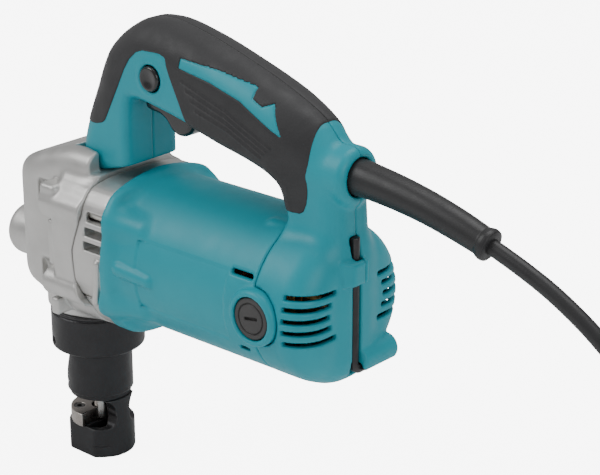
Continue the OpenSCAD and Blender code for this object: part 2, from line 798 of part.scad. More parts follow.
module trigger() {
    hx = trigger_hinge[0];
    color(black_plastic) difference() {
        union() {
            side_plate(concat(
                [[post_back_x + 3, grip_low_z + 13], [post_back_x + 3, grip_low_z + 4]],
                [for (k = [0 : 5]) let (t = k / 5, a = [post_back_x + 4, grip_low_z + 3],
                                        b = [post_back_x + 17, grip_low_z + 4],
                                        c = [post_back_x + 20, grip_low_z - 4])
                    a * pow(1 - t, 2) + b * 2 * t * (1 - t) + c * t * t],
                [[post_back_x + 24, grip_low_z - 5.5], [post_back_x + 31, grip_low_z - 3.5],
                 [hx - 3, grip_low_z + 1.5], [hx - 3, grip_low_z + 8], [post_back_x + 12, grip_low_z + 13]]),
                -trigger_half_w, trigger_half_w);
            bar_y(3.8, -trigger_half_w, trigger_half_w, hx, trigger_hinge[1]);
            side_plate([[hx - 12, grip_low_z + 3], [hx - 2, grip_low_z + 3.4], [hx, trigger_hinge[1] + 3.6],
                        [hx - 12, grip_low_z + 10]], -trigger_half_w, trigger_half_w);
        }
        bar_y(1.5 + run_fit, -trigger_half_w - 1, trigger_half_w + 1, hx, trigger_hinge[1]);
    }
}

module trigger_pin() {
    color(bright_steel)
        bar_y(1.5, -handle_half_w + 4.1, handle_half_w - 4.1, trigger_hinge[0], trigger_hinge[1]);
}

module lock_button() {
    y0 = -handle_half_w - button_out;
    color(black_plastic) union() {
        bar_y(button_r, y0, -button_in, button_pos[0], button_pos[1]);
        translate([button_pos[0], y0, button_pos[1]]) rotate([90, 0, 0]) rotate_extrude()
            polygon(concat([[0, 0]], [for (k = [0 : 5]) let (a = k * 18)
                [button_r * cos(a) * 0.999, 0.9 * sin(a)]]));
    }
}

module switch_body() {
    color(black_plastic) difference() {
        box([front_x + 44, -switch_half_w, grip_low_z + 15 + trigger_rise],
            [front_x + 78, switch_half_w, top_z - 12]);
        box([front_x + 46, -switch_half_w - 1, grip_low_z + 14 + trigger_rise],
            [front_x + 74, -switch_half_w + 1.8, grip_low_z + 17 + trigger_rise]);
    }
}

module handle_screws() {
    color(bright_steel) for (p = handle_screw_places) {
        difference() {
            union() {
                bar_y(handle_screw_r, -handle_half_w + 6, handle_half_w - 3, p[0], p[1]);
                bar_y(handle_screw_r * 1.9, handle_half_w - 3.1, handle_half_w - 1, p[0], p[1]);
            }
            translate([p[0], handle_half_w - 2.2, p[1]]) {
                for (a = [0, 90]) rotate([0, a, 0]) translate([-2.2, 0, -0.4]) cube([4.4, 2, 0.8]);
            }
        }
    }
}

// ---------------------------------------------------------------- cord

module cord_guard() {
    n = len(guard_path) - 1;
    d = guard_path[n] - guard_path[n - 1];
    color(soft_grey) union() {
        swept(guard_path, [for (k = [0 : n]) guard_r + (guard_end_r - guard_r) * k / n], 18, 16);
        bar_x(guard_r + 2, cord_exit_x - 11, cord_exit_x - 8, cord_z);
        translate(guard_path[n]) rotate([0, atan2(d[0], d[2]), 0]) translate([0, 0, -3]) cylinder(r = 7.2, h = 3.2);
    }
}

module cord_clamp() {
    color(black_plastic) difference() {
        box([rear_x - 25, -10.5, cord_z + 2.6], [rear_x - 15.3, 10.5, cord_z + 8]);
        bar_x(3, rear_x - 26, rear_x - 14, cord_z + 1);
        for (y = [-7.5, 7.5]) bar_z(1.5, cord_z, cord_z + 9, rear_x - 20, y);
    }
}

module cord_clamp_screws() {
    color(bright_steel) for (y = [-7.5, 7.5]) {
        bar_z(1.4, cord_z - 9, cord_z + 8, rear_x - 20, y);
        bar_z(2.6, cord_z + 8, cord_z + 9.8, rear_x - 20, y);
    }
}

module cord() {
    color(soft_grey) {
        swept(cord_path, [for (p = cord_path) cord_d / 2], 56, 10);
        swept(plug_tail, [for (p = plug_tail) cord_d / 2], 30, 10);
    }
}

module cord_coil() {
    color(soft_grey) translate([coil_centre[0], coil_centre[1], 0]) rotate_extrude()
        translate([coil_turn_r - cord_d, 0]) square([2 * cord_d, coil_layers * cord_d]);
}

module coil_tie() {
    w = 2 * cord_d + 0.6;
    color(black_plastic) translate([coil_centre[0], coil_centre[1], 0]) rotate([0, 0, coil_tie_turn])
        translate([coil_turn_r - w / 2 - 1.2, -4, 0]) difference() {
            cube([w + 2.4, 8, coil_layers * cord_d + 1.5]);
            translate([1.2, -1, -1]) cube([w, 10, coil_layers * cord_d + 1.2]);
        }
}

module plug() {
    color(black_plastic) translate(plug_pos) {
        bar_x(plug_r, 0, plug_len);
        for (y = [-pin_y, pin_y]) bar_x(pin_r, plug_len, plug_len + pin_len, 0, y);
    }
}

// ---------------------------------------------------------------- motor

module field_core() {
    color(carbon) difference() {
        bar_x(barrel_in - 0.05, field_x, field_end, motor_z);
        bar_x(core_r + air_gap, field_x - 1, field_end + 1, motor_z);
        for (a = [40, 140, 220, 320]) translate([0, 0, motor_z]) rotate([a, 0, 0])
            box([field_x - 1, -4.5, 17], [field_end + 1, 4.5, 26]);
        for (y = [-29, 29]) bar_x(2.1, field_x - 1, field_end + 1, motor_z, y);
    }
}

module field_coils() {
    color(copper) for (s = [-1, 1]) {
        for (a = [40, 140]) translate([0, 0, motor_z]) rotate([a * s, 0, 0])
            box([field_x - 4, -4.2, 20], [field_end + 2.4, 4.2, 25.7]);
        for (x = [field_x - 4, field_end + 0.2]) intersection() {
            ring_x(25.2, 21.5, x, x + (x < field_x ? 3.8 : 2.2), motor_z);
            box([x - 1, s > 0 ? 12.5 : -40, motor_z - 20], [x + 5, s > 0 ? 40 : -12.5, motor_z + 20]);
        }
    }
}

module field_screws() {
    color(bright_steel) for (y = [-29, 29]) {
        bar_x(2, field_x - 2.2, field_end + 2, motor_z, y);
        bar_x(3.4, field_x - 4.8, field_x, motor_z, y);
    }
}

module fan_baffle() {
    color(black_plastic) difference() {
        bar_x(barrel_in - 0.1, fan_x + fan_len + 1, fan_x + fan_len + 3, motor_z);
        bar_x(core_r + 1, fan_x + fan_len, fan_x + fan_len + 4, motor_z);
    }
}

module armature_shaft() {
    pinion_x = idler_gear_x - 0.5;
    color(bright_steel) union() {
        bar_x(shaft_r - run_fit, front_bearing_x - 0.2, rear_bearing_x + rear_bearing[1] + 1, motor_z);
        bar_x(module_1 * (teeth_1 / 2 - 1.1), pinion_x, front_bearing_x, motor_z);
        gear_x(teeth_1, module_1, pinion_x, front_bearing_x - 1, motor_z, 0.6);
        bar_x(shaft_r + 1, front_bearing_x + front_bearing[1] + 0.3, fan_x, motor_z);
    }
}

module armature_core() {
    color(carbon) difference() {
        bar_x(core_r, field_x + 2, field_end - 2, motor_z);
        bar_x(shaft_r - run_fit, field_x, field_end, motor_z);
        for (i = [0 : 11]) translate([0, 0, motor_z]) rotate([i * 30, 0, 0])
            box([field_x, -1.3, core_r - 6], [field_end, 1.3, core_r + 1]);
    }
}

module armature_winding() {
    color(copper) {
        for (i = [0 : 11]) translate([0, 0, motor_z]) rotate([i * 30, 0, 0])
            box([field_x + 1, -1.2, core_r - 5.9], [field_end - 1, 1.2, core_r - 1]);
        ring_x(core_r - 1.5, shaft_r, field_x - 4, field_x + 1.9, motor_z);
        ring_x(core_r - 1.5, shaft_r, field_end - 1.9, commutator_x - 1, motor_z);
    }
}

module commutator() {
    color(brass) difference() {
        bar_x(commutator_r, commutator_x, commutator_x + commutator_len, motor_z);
        bar_x(shaft_r - run_fit, commutator_x - 1, commutator_x + commutator_len + 1, motor_z);
        for (i = [0 : 23]) translate([0, 0, motor_z]) rotate([i * 15 + 7.5, 0, 0])
            box([commutator_x - 1, -0.3, commutator_r - 1], [commutator_x + commutator_len + 1, 0.3, commutator_r + 1]);
    }
}

module fan() {
    color(black_plastic) difference() {
        union() {
            bar_x(8, fan_x, fan_x + fan_len, motor_z);
            bar_x(fan_r, fan_x + fan_len - 2.5, fan_x + fan_len - 0.5, motor_z);
            for (i = [0 : 13]) translate([0, 0, motor_z]) rotate([i * 360 / 14, 0, 0])
                box([fan_x + 1, -0.8, 7], [fan_x + fan_len - 2, 0.8, fan_r - 0.5]);
        }
        bar_x(shaft_r - run_fit, fan_x - 1, fan_x + fan_len + 1, motor_z);
    }
}

// Ball bearing seen as two rings, seven balls and two shields
module ball_bearing(r_out, r_in, width, x, z) {
    mid = (r_out + r_in) / 2;
    gap = (r_out - r_in) / 2;
    ring_x(r_out, mid + gap * 0.35, x, x + width, z);
    ring_x(mid - gap * 0.35, r_in, x, x + width, z);
    ring_x(mid + gap * 0.36, mid - gap * 0.36, x + width * 0.25, x + width * 0.75, z);
}

module armature_front_bearing() {
    color(bright_steel)
        ball_bearing(front_bearing[0], shaft_r, front_bearing[1], front_bearing_x, motor_z);
}

module armature_rear_bearing() {
    color(bright_steel)
        ball_bearing(rear_bearing[0], shaft_r, rear_bearing[1], rear_bearing_x, motor_z);
}

module brush_holders() {
    color(brass) for (side = [-1, 1]) {
        y0 = side > 0 ? commutator_r + 1.6 : 6.2 - boss_y;
        y1 = side > 0 ? boss_y - 6.2 : -commutator_r - 1.6;
        difference() {
            box([brush_x - brush_size[0] / 2 - 1.4, y0, motor_z - brush_size[1] / 2 - 1.4],
                [brush_x + brush_size[0] / 2 + 1.4, y1, motor_z + brush_size[1] / 2 + 1.4]);
            box([brush_x - brush_size[0] / 2 - 0.1, y0 - 1, motor_z - brush_size[1] / 2 - 0.1],
                [brush_x + brush_size[0] / 2 + 0.1, y1 + 1, motor_z + brush_size[1] / 2 + 0.1]);
        }
    }
}

module carbon_brushes() {
    color(carbon) for (side = [-1, 1]) {
        y0 = side > 0 ? commutator_r + 0.4 : -commutator_r - 10.4;
        box([brush_x - brush_size[0] / 2, y0, motor_z - brush_size[1] / 2],
            [brush_x + brush_size[0] / 2, y0 + 10, motor_z + brush_size[1] / 2]);
    }
}

module brush_springs() {
    color(bright_steel) for (side = [-1, 1]) {
        y0 = side > 0 ? commutator_r + 10.5 : 6.1 - boss_y;
        y1 = side > 0 ? boss_y - 6.1 : -commutator_r - 10.5;
        difference() {
            bar_y(2.6, y0, y1, brush_x, motor_z);
            bar_y(1.8, y0 - 1, y1 + 1, brush_x, motor_z);
        }
    }
}

module brush_caps() {
    color(carbon) for (side = [-1, 1]) {
        y0 = side > 0 ? boss_y - 5.8 : -boss_y - 0.4;
        y1 = side > 0 ? boss_y + 0.4 : 5.8 - boss_y;
        difference() {
            bar_y(boss_in, y0, y1, brush_x, motor_z);
            box([brush_x - 5, side > 0 ? y1 - 1.6 : y0 - 1, motor_z - 0.7],
                [brush_x + 5, side > 0 ? y1 + 1 : y0 + 1.6, motor_z + 0.7]);
        }
    }
}

// ---------------------------------------------------------------- gear train

module idler_shaft() {
    color(bright_steel) union() {
        bar_x(idler_r, plate_x + 1.6, idler_back_x + idler_bearing[1] - 0.2, idler_z);
        gear_x(teeth_3, module_2, crank_gear_x - 0.3, crank_gear_x + gear_face + 0.4, idler_z, 1, 180);
        bar_x(4.4, plate_x + plate_t + 0.3, crank_gear_x, idler_z);
    }
}

module idler_gear() {
    color(bright_steel) difference() {
        gear_x(teeth_2, module_1, idler_gear_x, idler_gear_x + gear_face, idler_z, idler_r, 180 + 180 / teeth_2);
        for (a = [0 : 60 : 300]) translate([0, 0, idler_z]) rotate([a, 0, 0])
            bar_x(2.4, idler_gear_x - 1, idler_gear_x + gear_face + 1, 9.2);
    }
}

module idler_bearings() {
    color(bright_steel) {
        ball_bearing(idler_bearing[0], idler_r + run_fit, idler_bearing[1], plate_x + 1.5, idler_z);
        ball_bearing(idler_bearing[0], idler_r + run_fit, idler_bearing[1], idler_back_x, idler_z);
    }
}

module crank_shaft() {
    color(bright_steel) union() {
        bar_x(crank_r, rod_t / 2 + 1.2, crank_gear_x + gear_face + 0.6, crank_z);
        bar_x(crank_r + 1.6, rod_t / 2 + 1.2, plate_x - 0.4, crank_z);
        bar_x(eccentric_r, -rod_t / 2 - 1, rod_t / 2 + 1.3, crank_z, throw);
        bar_x(eccentric_r + throw + 1, -rod_t / 2 - 5, -rod_t / 2 - 0.8, crank_z);
        bar_x(nose_journal_r, nose_bearing_x + 0.5, -rod_t / 2 - 4, crank_z);
    }
}

module crank_gear() {
    color(bright_steel) difference() {
        gear_x(teeth_4, module_2, crank_gear_x, crank_gear_x + gear_face, crank_z, crank_r, 180 / teeth_4);
        for (a = [0 : 72 : 288]) translate([0, 0, crank_z]) rotate([a, 0, 0])
            bar_x(3, crank_gear_x - 1, crank_gear_x + gear_face + 1, 12.4);
    }
}

module crank_rear_bearing() {
    color(bright_steel) ball_bearing(crank_bearing[0], crank_r + run_fit, crank_bearing[1], plate_x, crank_z);
}

module crank_front_bearing() {
    color(bright_steel)
        ball_bearing(nose_bearing[0], nose_journal_r + run_fit, nose_bearing[1], nose_bearing_x, crank_z);
}

module eccentric_bearing() {
    color(bright_steel) translate([0, throw, 0])
        ring_x(eccentric_bearing_r, eccentric_r, -rod_t / 2, rod_t / 2, crank_z);
}

// ---------------------------------------------------------------- ram, rod and punch

module connecting_rod() {
    color(bright_steel) difference() {
        union() {
            bar_x(big_end_r, -rod_t / 2 + 0.3, rod_t / 2 - 0.3, crank_z);
            bar_x(wrist_r + 2.4, -rod_t / 2 + 0.3, rod_t / 2 - 0.3, wrist_z);
            box([-rod_t / 2 + 0.3, -wrist_r - 2, wrist_z], [rod_t / 2 - 0.3, wrist_r + 2, crank_z - big_end_r + 4]);
        }
        bar_x(big_end_bore, -rod_t, rod_t, crank_z);
        bar_x(wrist_r + run_fit, -rod_t, rod_t, wrist_z);
    }
}

module wrist_pin() {
    color(bright_steel) bar_x(wrist_r, -ram_r + 1, ram_r - 1, wrist_z);
}

module ram() {
    color(bright_steel) difference() {
        bar_z(ram_r - run_fit, ram_z, ram_top);
        box([-rod_t / 2, -ram_r - 1, wrist_z - wrist_r - 3.4], [rod_t / 2, ram_r + 1, ram_top + 1]);
        bar_x(wrist_r, -ram_r - 1, ram_r + 1, wrist_z);
        bar_z(punch_head_r + 0.05, ram_z - 1, ram_z + punch_head_h);
        bar_y(1.5, -ram_r - 1, -punch_head_r, 0, ram_z + 4);
    }
}

module guide_sleeve() {
    color(bronze) difference() {
        bar_z(sleeve_r, sleeve_z, sleeve_end);
        bar_z(ram_r, sleeve_z - 1, sleeve_end + 1);
    }
}

module ram_seal() {
    color(black_plastic) difference() {
        bar_z(sleeve_r - 0.1, spigot_low + 0.1, spigot_low + 0.1 + seal_h);
        bar_z(ram_r + 0.2, spigot_low - 1, sleeve_z + 1);
    }
}

module punch() {
    color(bright_steel) difference() {
        union() {
            bar_z(punch_head_r, ram_z + 0.4, ram_z + punch_head_h - 0.2);
            bar_z(punch_r, punch_tip, ram_z + 1);
        }
        box([-punch_r - 1, -punch_r - 1, punch_tip - 1], [-punch_r * 0.1, punch_r + 1, die_top + 5.5]);
    }
}

module punch_screw() {
    color(black_steel) bar_y(1.4, -ram_r + 0.6, -punch_head_r - 0.05, 0, ram_z + 4);
}

module die_holder() {
    color(black_steel) difference() {
        union() {
            bar_z(holder_r, throat_top, holder_flange_z + 1);
            bar_z(holder_flange_r, holder_flange_z, holder_flange_z + holder_flange_h);
            bar_z(holder_r, 0, foot_h);
            intersection() {
                box([punch_r + 1.2, -neck_w / 2, 2], [holder_r + 3, neck_w / 2, throat_top + 6]);
                bar_z(holder_r + 0.5, 0, throat_top + 7);
            }
        }
        bar_z(punch_r + 0.25, throat_top - 1, ram_z);
        bar_z(ram_r + 1, ram_z - throw - 1.5, holder_flange_z + holder_flange_h + 1);
        box([-holder_r, -holder_r - 1, -1], [holder_r, -holder_r + 3, foot_h - 7]);
        difference() {
            bar_z(holder_r - 3.4, 5, foot_h + 1);
            box([-holder_r, -holder_r, 0], [die_face_x - 6, holder_r, foot_h + 2]);
        }
        bar_z(punch_r + 0.7, 5, foot_h + 1);
        for (p = die_screw_places) bar_z(die_screw_r + 0.05, 3, foot_h + 1, p[0], p[1]);
        intersection() {
            bar_z(holder_r + 2, throat_top - 1, throat_top + 5);
            difference() {
                box([-30, -30, throat_top - 1], [30, 30, throat_top + 4]);
                bar_z(holder_r - 1.6, throat_top - 2, throat_top + 5);
                box([0, -neck_w / 2 - 1, throat_top - 2], [30, neck_w / 2 + 1, throat_top + 6]);
            }
        }
    }
}

module die() {
    color(bright_steel) difference() {
        intersection() {
            bar_z(die_r, foot_h, die_top);
            box([-30, -30, 0], [die_face_x, 30, 40]);
        }
        bar_z(punch_r + 0.12, foot_h - 1, die_top + 1);
        for (p = die_screw_places) {
            bar_z(die_screw_r + 0.05, foot_h - 1, die_top + 1, p[0], p[1]);
            bar_z(die_screw_head + 0.15, die_top - 2.4, die_top + 1, p[0], p[1]);
        }
    }
}

module die_screws() {
    color(black_steel) for (p = die_screw_places) {
        difference() {
            union() {
                bar_z(die_screw_r, 3.5, die_top - 2.4, p[0], p[1]);
                bar_z(die_screw_head, die_top - 2.4, die_top - 0.2, p[0], p[1]);
            }
            translate([p[0], p[1], die_top - 1.6]) cylinder(r = 1.4, h = 3, $fn = 6);
        }
    }
}

module lock_nut() {
    color(black_steel) difference() {
        union() {
            bar_z(nut_r, nut_z + 1, nut_top - 1);
            bar_z(nut_r - 1, nut_z, nut_top);
        }
        bar_z(holder_r + loose_fit, nut_z - 1, nut_top + 1);
        bar_z(holder_flange_r + loose_fit, holder_flange_z - loose_fit, nut_top + 1);
        bar_z(spigot_r + loose_fit, spigot_low - loose_fit, nut_top + 1);
        for (a = spanner_turns) rotate([0, 0, a]) bar_x(spanner_r, nut_r - spanner_depth, nut_r + 2, nut_z + 4.5);
    }
}

module hex_wrench() {
    color(black_steel) union() {
        translate([wrench_x, wrench_y, wrench_low]) cylinder(r = wrench_r, h = wrench_len, $fn = 6);
        translate([wrench_x, wrench_y, wrench_low]) sphere(r = wrench_r);
        translate([wrench_x, wrench_y, wrench_low]) rotate([-90, 0, 0])
            cylinder(r = wrench_r, h = wrench_arm, $fn = 6);
    }
}

// ---------------------------------------------------------------- assembly

motor_housing();
handle_left();
handle_right();
grip_rubber_left();
grip_rubber_right();
trigger();
trigger_pin();
lock_button();
switch_body();
handle_screws();
cord_guard();
cord_clamp();
cord_clamp_screws();
cord();
cord_coil();
coil_tie();
plug();
field_core();
field_coils();
field_screws();
fan_baffle();
armature_shaft();
armature_core();
armature_winding();
commutator();
fan();
armature_front_bearing();
armature_rear_bearing();
brush_holders();
carbon_brushes();
brush_springs();
brush_caps();
gear_housing();
bearing_box();
housing_screws();
bearing_plate();
plate_screws();
idler_shaft();
idler_gear();
idler_bearings();
crank_shaft();
crank_gear();
crank_rear_bearing();
crank_front_bearing();
eccentric_bearing();
connecting_rod();
wrist_pin();
ram();
guide_sleeve();
ram_seal();
punch();
punch_screw();
die_holder();
die();
die_screws();
lock_nut();
hex_wrench();
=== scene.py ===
"""Looks of the hand-held sheet nibbler: casings, grips, punch gear, cord and studio.

Sizes are in millimetres in the tool's own frame: X runs back along the motor, Y to the right, Z up.
Each cast or moulded piece is given as a distance field, which the Mesher turns into a smooth mesh.
"""

import json
import logging
import math
from collections.abc import Callable, Sequence
from dataclasses import dataclass, field
from enum import Enum

import bpy
import numpy as np
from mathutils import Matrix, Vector

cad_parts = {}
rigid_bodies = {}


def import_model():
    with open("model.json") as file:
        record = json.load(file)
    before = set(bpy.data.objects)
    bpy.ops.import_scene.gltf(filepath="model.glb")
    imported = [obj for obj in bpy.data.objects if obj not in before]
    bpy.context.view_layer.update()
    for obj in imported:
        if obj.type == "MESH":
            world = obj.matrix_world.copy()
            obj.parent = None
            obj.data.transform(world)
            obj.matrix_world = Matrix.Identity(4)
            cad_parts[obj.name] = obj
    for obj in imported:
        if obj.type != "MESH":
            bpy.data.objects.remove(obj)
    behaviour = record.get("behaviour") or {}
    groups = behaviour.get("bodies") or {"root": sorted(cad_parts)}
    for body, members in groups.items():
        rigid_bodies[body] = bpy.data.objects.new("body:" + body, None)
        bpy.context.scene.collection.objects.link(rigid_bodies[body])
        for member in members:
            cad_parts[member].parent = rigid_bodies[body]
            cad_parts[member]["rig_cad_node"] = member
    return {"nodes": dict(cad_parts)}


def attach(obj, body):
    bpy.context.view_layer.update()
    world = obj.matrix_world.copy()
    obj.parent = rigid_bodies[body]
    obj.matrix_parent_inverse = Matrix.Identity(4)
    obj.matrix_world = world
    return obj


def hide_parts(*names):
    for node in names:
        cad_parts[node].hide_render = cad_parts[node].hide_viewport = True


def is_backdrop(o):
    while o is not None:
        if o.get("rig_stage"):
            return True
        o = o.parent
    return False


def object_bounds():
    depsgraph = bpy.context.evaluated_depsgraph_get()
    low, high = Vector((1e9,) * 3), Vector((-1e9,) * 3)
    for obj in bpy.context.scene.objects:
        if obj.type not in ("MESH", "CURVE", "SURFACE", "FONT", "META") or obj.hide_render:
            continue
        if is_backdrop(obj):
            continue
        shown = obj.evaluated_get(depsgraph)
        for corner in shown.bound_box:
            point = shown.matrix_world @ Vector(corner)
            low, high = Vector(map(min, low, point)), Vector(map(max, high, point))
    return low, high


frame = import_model()

LOG = logging.getLogger("nibbler")
MM = 0.001
Array = np.ndarray
Point = tuple[float, float, float]
Outline = Sequence[tuple[float, float]]
DistanceRule = Callable[[Array, Array, Array], Array]

MOTOR_Z = 120.7
BRUSH_X = 138.8
BUTTON_AT = (60.0, 207.0)
FLANGE_SCREW_Y = 30.2
FLANGE_SCREW_Z = (140.2, 100.7)
SPANNER_HOLE_TURNS = (65.4, 245.4)
DIE_SCREW_Y = (-8.6, 8.6)
LIGHT_AIM = (0.08, 0.0, 0.12)
FLOOR_HALF = 6.0
FLOOR_GLOW = 7.0
ROOM_LIGHT = 0.34


class Axis(Enum):
    """Direction that a round bar runs in."""

    X = 0
    Y = 1
    Z = 2


class Texture(Enum):
    """Fine surface relief of a finish."""

    MOULDED = "moulded"
    RUBBER = "rubber"
    CAST = "cast"
    TURNED = "turned"
    GROUND = "ground"
    WOUND = "wound"


# ---------------------------------------------------------------- distance fields


def soft_min(a: Array, b: Array, soft: float) -> Array:
    """Return the smaller of two distances, with a fillet of the given reach.

    Args:
        a: First distance.
        b: Second distance.
        soft: Reach of the fillet in millimetres.

    Returns:
        The blended distance.
    """
    share = np.clip(0.5 + 0.5 * (b - a) / soft, 0.0, 1.0)
    return b + (a - b) * share - soft * share * (1.0 - share)


@dataclass(frozen=True)
class Shape:
    """Solid given by its signed distance, negative inside.

    Args:
        rule: Function of X, Y and Z that returns the distance.
    """

    rule: DistanceRule

    def join(self, other: "Shape", soft: float = 0.5) -> "Shape":
        """Return the union with another solid, filleted by soft."""
        return Shape(lambda x, y, z: soft_min(self.rule(x, y, z), other.rule(x, y, z), soft))

    def cut(self, other: "Shape", soft: float = 0.5) -> "Shape":
        """Return this solid less another, with edges eased by soft."""
        return Shape(lambda x, y, z: -soft_min(-self.rule(x, y, z), other.rule(x, y, z), soft))

    def keep(self, other: "Shape", soft: float = 0.5) -> "Shape":
        """Return what lies in both solids, with edges eased by soft."""
        return Shape(lambda x, y, z: -soft_min(-self.rule(x, y, z), -other.rule(x, y, z), soft))

    def grown(self, by: float) -> "Shape":
        """Return the solid offset outwards by some millimetres."""
        return Shape(lambda x, y, z: self.rule(x, y, z) - by)

    def both_sides(self) -> "Shape":
        """Return the solid together with its mirror image in the middle plane."""
        return Shape(lambda x, y, z: self.rule(x, -np.abs(y), z))

    def turned(self, degrees: float) -> "Shape":
        """Return the solid turned about the punch axis.

        Args:
            degrees: Angle, positive from +X towards +Y.

        Returns:
            The turned solid.
        """
        c = math.cos(math.radians(degrees))
        s = math.sin(math.radians(degrees))
        return Shape(lambda x, y, z: self.rule(x * c + y * s, y * c - x * s, z))


def eased(side: Array, end: Array, ease: float) -> Array:
    """Return the distance to the body that two faces bound, with a round edge where they meet.

    Args:
        side: Distance to the first face, grown by the edge's radius.
        end: Distance to the second face, grown by the edge's radius.
        ease: Radius of the edge.

    Returns:
        The distance, negative inside.
    """
    inner = np.minimum(np.maximum(side, end), 0)
    return inner + np.hypot(np.maximum(side, 0), np.maximum(end, 0)) - ease


def bar(
    axis: Axis, radius: float, low: float, high: float, centre: tuple[float, float], ease: float = 0.4
) -> Shape:
    """Return a round bar with eased ends.

    Args:
        axis: Direction of the bar.
        radius: Radius of the bar.
        low: Where it starts along its axis.
        high: Where it ends.
        centre: The two other coordinates of its axis, in X, Y, Z order.
        ease: Radius of its end edges.

    Returns:
        The solid.
    """
    middle = (low + high) / 2
    half = (high - low) / 2

    def rule(x: Array, y: Array, z: Array) -> Array:
        """Distance to the bar.

        Args:
            x: First coordinate.
            y: Second coordinate.
            z: Third coordinate.

        Returns:
            The distance, negative inside.
        """
        along, u, v = {Axis.X: (x, y, z), Axis.Y: (y, x, z), Axis.Z: (z, x, y)}[axis]
        side = np.hypot(u - centre[0], v - centre[1]) - radius + ease
        end = np.abs(along - middle) - half + ease
        return eased(side, end, ease)

    return Shape(rule)


def block(low: Point, high: Point, ease: float = 0.4) -> Shape:
    """Return a box with rounded edges between two corners.

    Args:
        low: Lowest corner.
        high: Highest corner.
        ease: Radius of its edges.

    Returns:
        The solid.
    """
    middle = [(a + b) / 2 for a, b in zip(low, high)]
    half = [(b - a) / 2 - ease for a, b in zip(low, high)]

    def rule(x: Array, y: Array, z: Array) -> Array:
        """Distance to the box.

        Args:
            x: First coordinate.
            y: Second coordinate.
            z: Third coordinate.

        Returns:
            The distance, negative inside.
        """
        parts = [np.abs(p - m) - h for p, m, h in zip((x, y, z), middle, half)]
        inner = np.minimum(np.maximum(np.maximum(parts[0], parts[1]), parts[2]), 0)
        outer = sum(np.maximum(p, 0) ** 2 for p in parts)
        return inner + np.sqrt(outer) - ease

    return Shape(rule)


def pill(start: Point, end: Point, r_start: float, r_end: float | None = None) -> Shape:
    """Return a round-ended bar between two points.

    Args:
        start: Centre of the first end.
        end: Centre of the second end.
        r_start: Radius at the first end.
        r_end: Radius at the second end; the same if left out.

    Returns:
        The solid.
    """
    radius_end = r_start if r_end is None else r_end
    d = [b - a for a, b in zip(start, end)]
    length2 = sum(c * c for c in d)

    def rule(x: Array, y: Array, z: Array) -> Array:
        """Distance to the round-ended bar.

        Args:
            x: First coordinate.
            y: Second coordinate.
            z: Third coordinate.

        Returns:
            The distance, negative inside.
        """
        p = [c - a for c, a in zip((x, y, z), start)]
        t = np.clip(sum(a * b for a, b in zip(p, d)) / length2, 0, 1)
        gap = sum((a - t * b) ** 2 for a, b in zip(p, d))
        return np.sqrt(gap) - (r_start + (radius_end - r_start) * t)

    return Shape(rule)


def outline_distance(points: Outline, u: Array, v: Array) -> Array:
    """Return the signed distance to a closed outline in its own plane.

    Args:
        points: Corners of the outline in order.
        u: First coordinate.
        v: Second coordinate.

    Returns:
        The distance, negative inside.
    """
    nearest = np.full(np.broadcast_shapes(u.shape, v.shape), 1e9, np.float32)
    inside = np.zeros(nearest.shape, bool)
    for k, (u0, v0) in enumerate(points):
        u1, v1 = points[(k + 1) % len(points)]
        du, dv = u1 - u0, v1 - v0
        t = np.clip(((u - u0) * du + (v - v0) * dv) / (du * du + dv * dv), 0, 1)
        nearest = np.minimum(nearest, (u - u0 - t * du) ** 2 + (v - v0 - t * dv) ** 2)
        crosses = (v0 > v) != (v1 > v)
        inside ^= crosses & (u < u0 + (v - v0) * (du / (dv if dv else 1e-9)))
    return np.where(inside, -1.0, 1.0) * np.sqrt(nearest)


@dataclass(frozen=True)
class OutlineTable:
    """Signed distance to an outline, held on a fine grid so that it is quick to read.

    Args:
        low: Lowest corner of the grid.
        values: Distances at the grid's points.
        step: Size of a cell.
    """

    low: tuple[float, float]
    values: Array
    step: float = 0.4

    @classmethod
    def of(cls, points: Outline) -> "OutlineTable":
        """Return the table of an outline, with room round it.

        Args:
            points: Corners of the outline in order.

        Returns:
            The table.
        """
        u = [p[0] for p in points]
        v = [p[1] for p in points]
        room, step = 12.0, 0.4
        across = np.arange(min(u) - room, max(u) + room, step)
        up = np.arange(min(v) - room, max(v) + room, step)
        values = outline_distance(points, across[:, None], up[None, :])
        return cls((float(across[0]), float(up[0])), values.astype(np.float32), step)

    def at(self, u: Array, v: Array) -> Array:
        """Return the distance at some places.

        Args:
            u: First coordinate.
            v: Second coordinate.

        Returns:
            The distance, read between the grid's points.
        """
        places, beyond = [], 0.0
        for c, low, n in zip((u, v), self.low, self.values.shape):
            held = np.clip(c, low, low + (n - 1.001) * self.step)
            beyond = beyond + np.abs(c - held)
            whole = np.floor((held - low) / self.step).astype(np.int32)
            places.append((whole, (held - low) / self.step - whole))
        (i, s), (j, t) = places
        grid = self.values
        below = grid[i, j] * (1 - s) + grid[i + 1, j] * s
        above = grid[i, j + 1] * (1 - s) + grid[i + 1, j + 1] * s
        return below * (1 - t) + above * t + beyond


def softened(points: Outline, rounds: int = 2) -> list[tuple[float, float]]:
    """Return an outline with its corners cut to a smooth curve.

    Args:
        points: Corners of the outline in order.
        rounds: Times that each corner is cut.

    Returns:
        The new outline's points.
    """
    for _ in range(rounds):
        cut: list[tuple[float, float]] = []
        for k, (u0, v0) in enumerate(points):
            u1, v1 = points[(k + 1) % len(points)]
            cut.append((0.8 * u0 + 0.2 * u1, 0.8 * v0 + 0.2 * v1))
            cut.append((0.2 * u0 + 0.8 * u1, 0.2 * v0 + 0.8 * v1))
        points = cut
    return list(points)


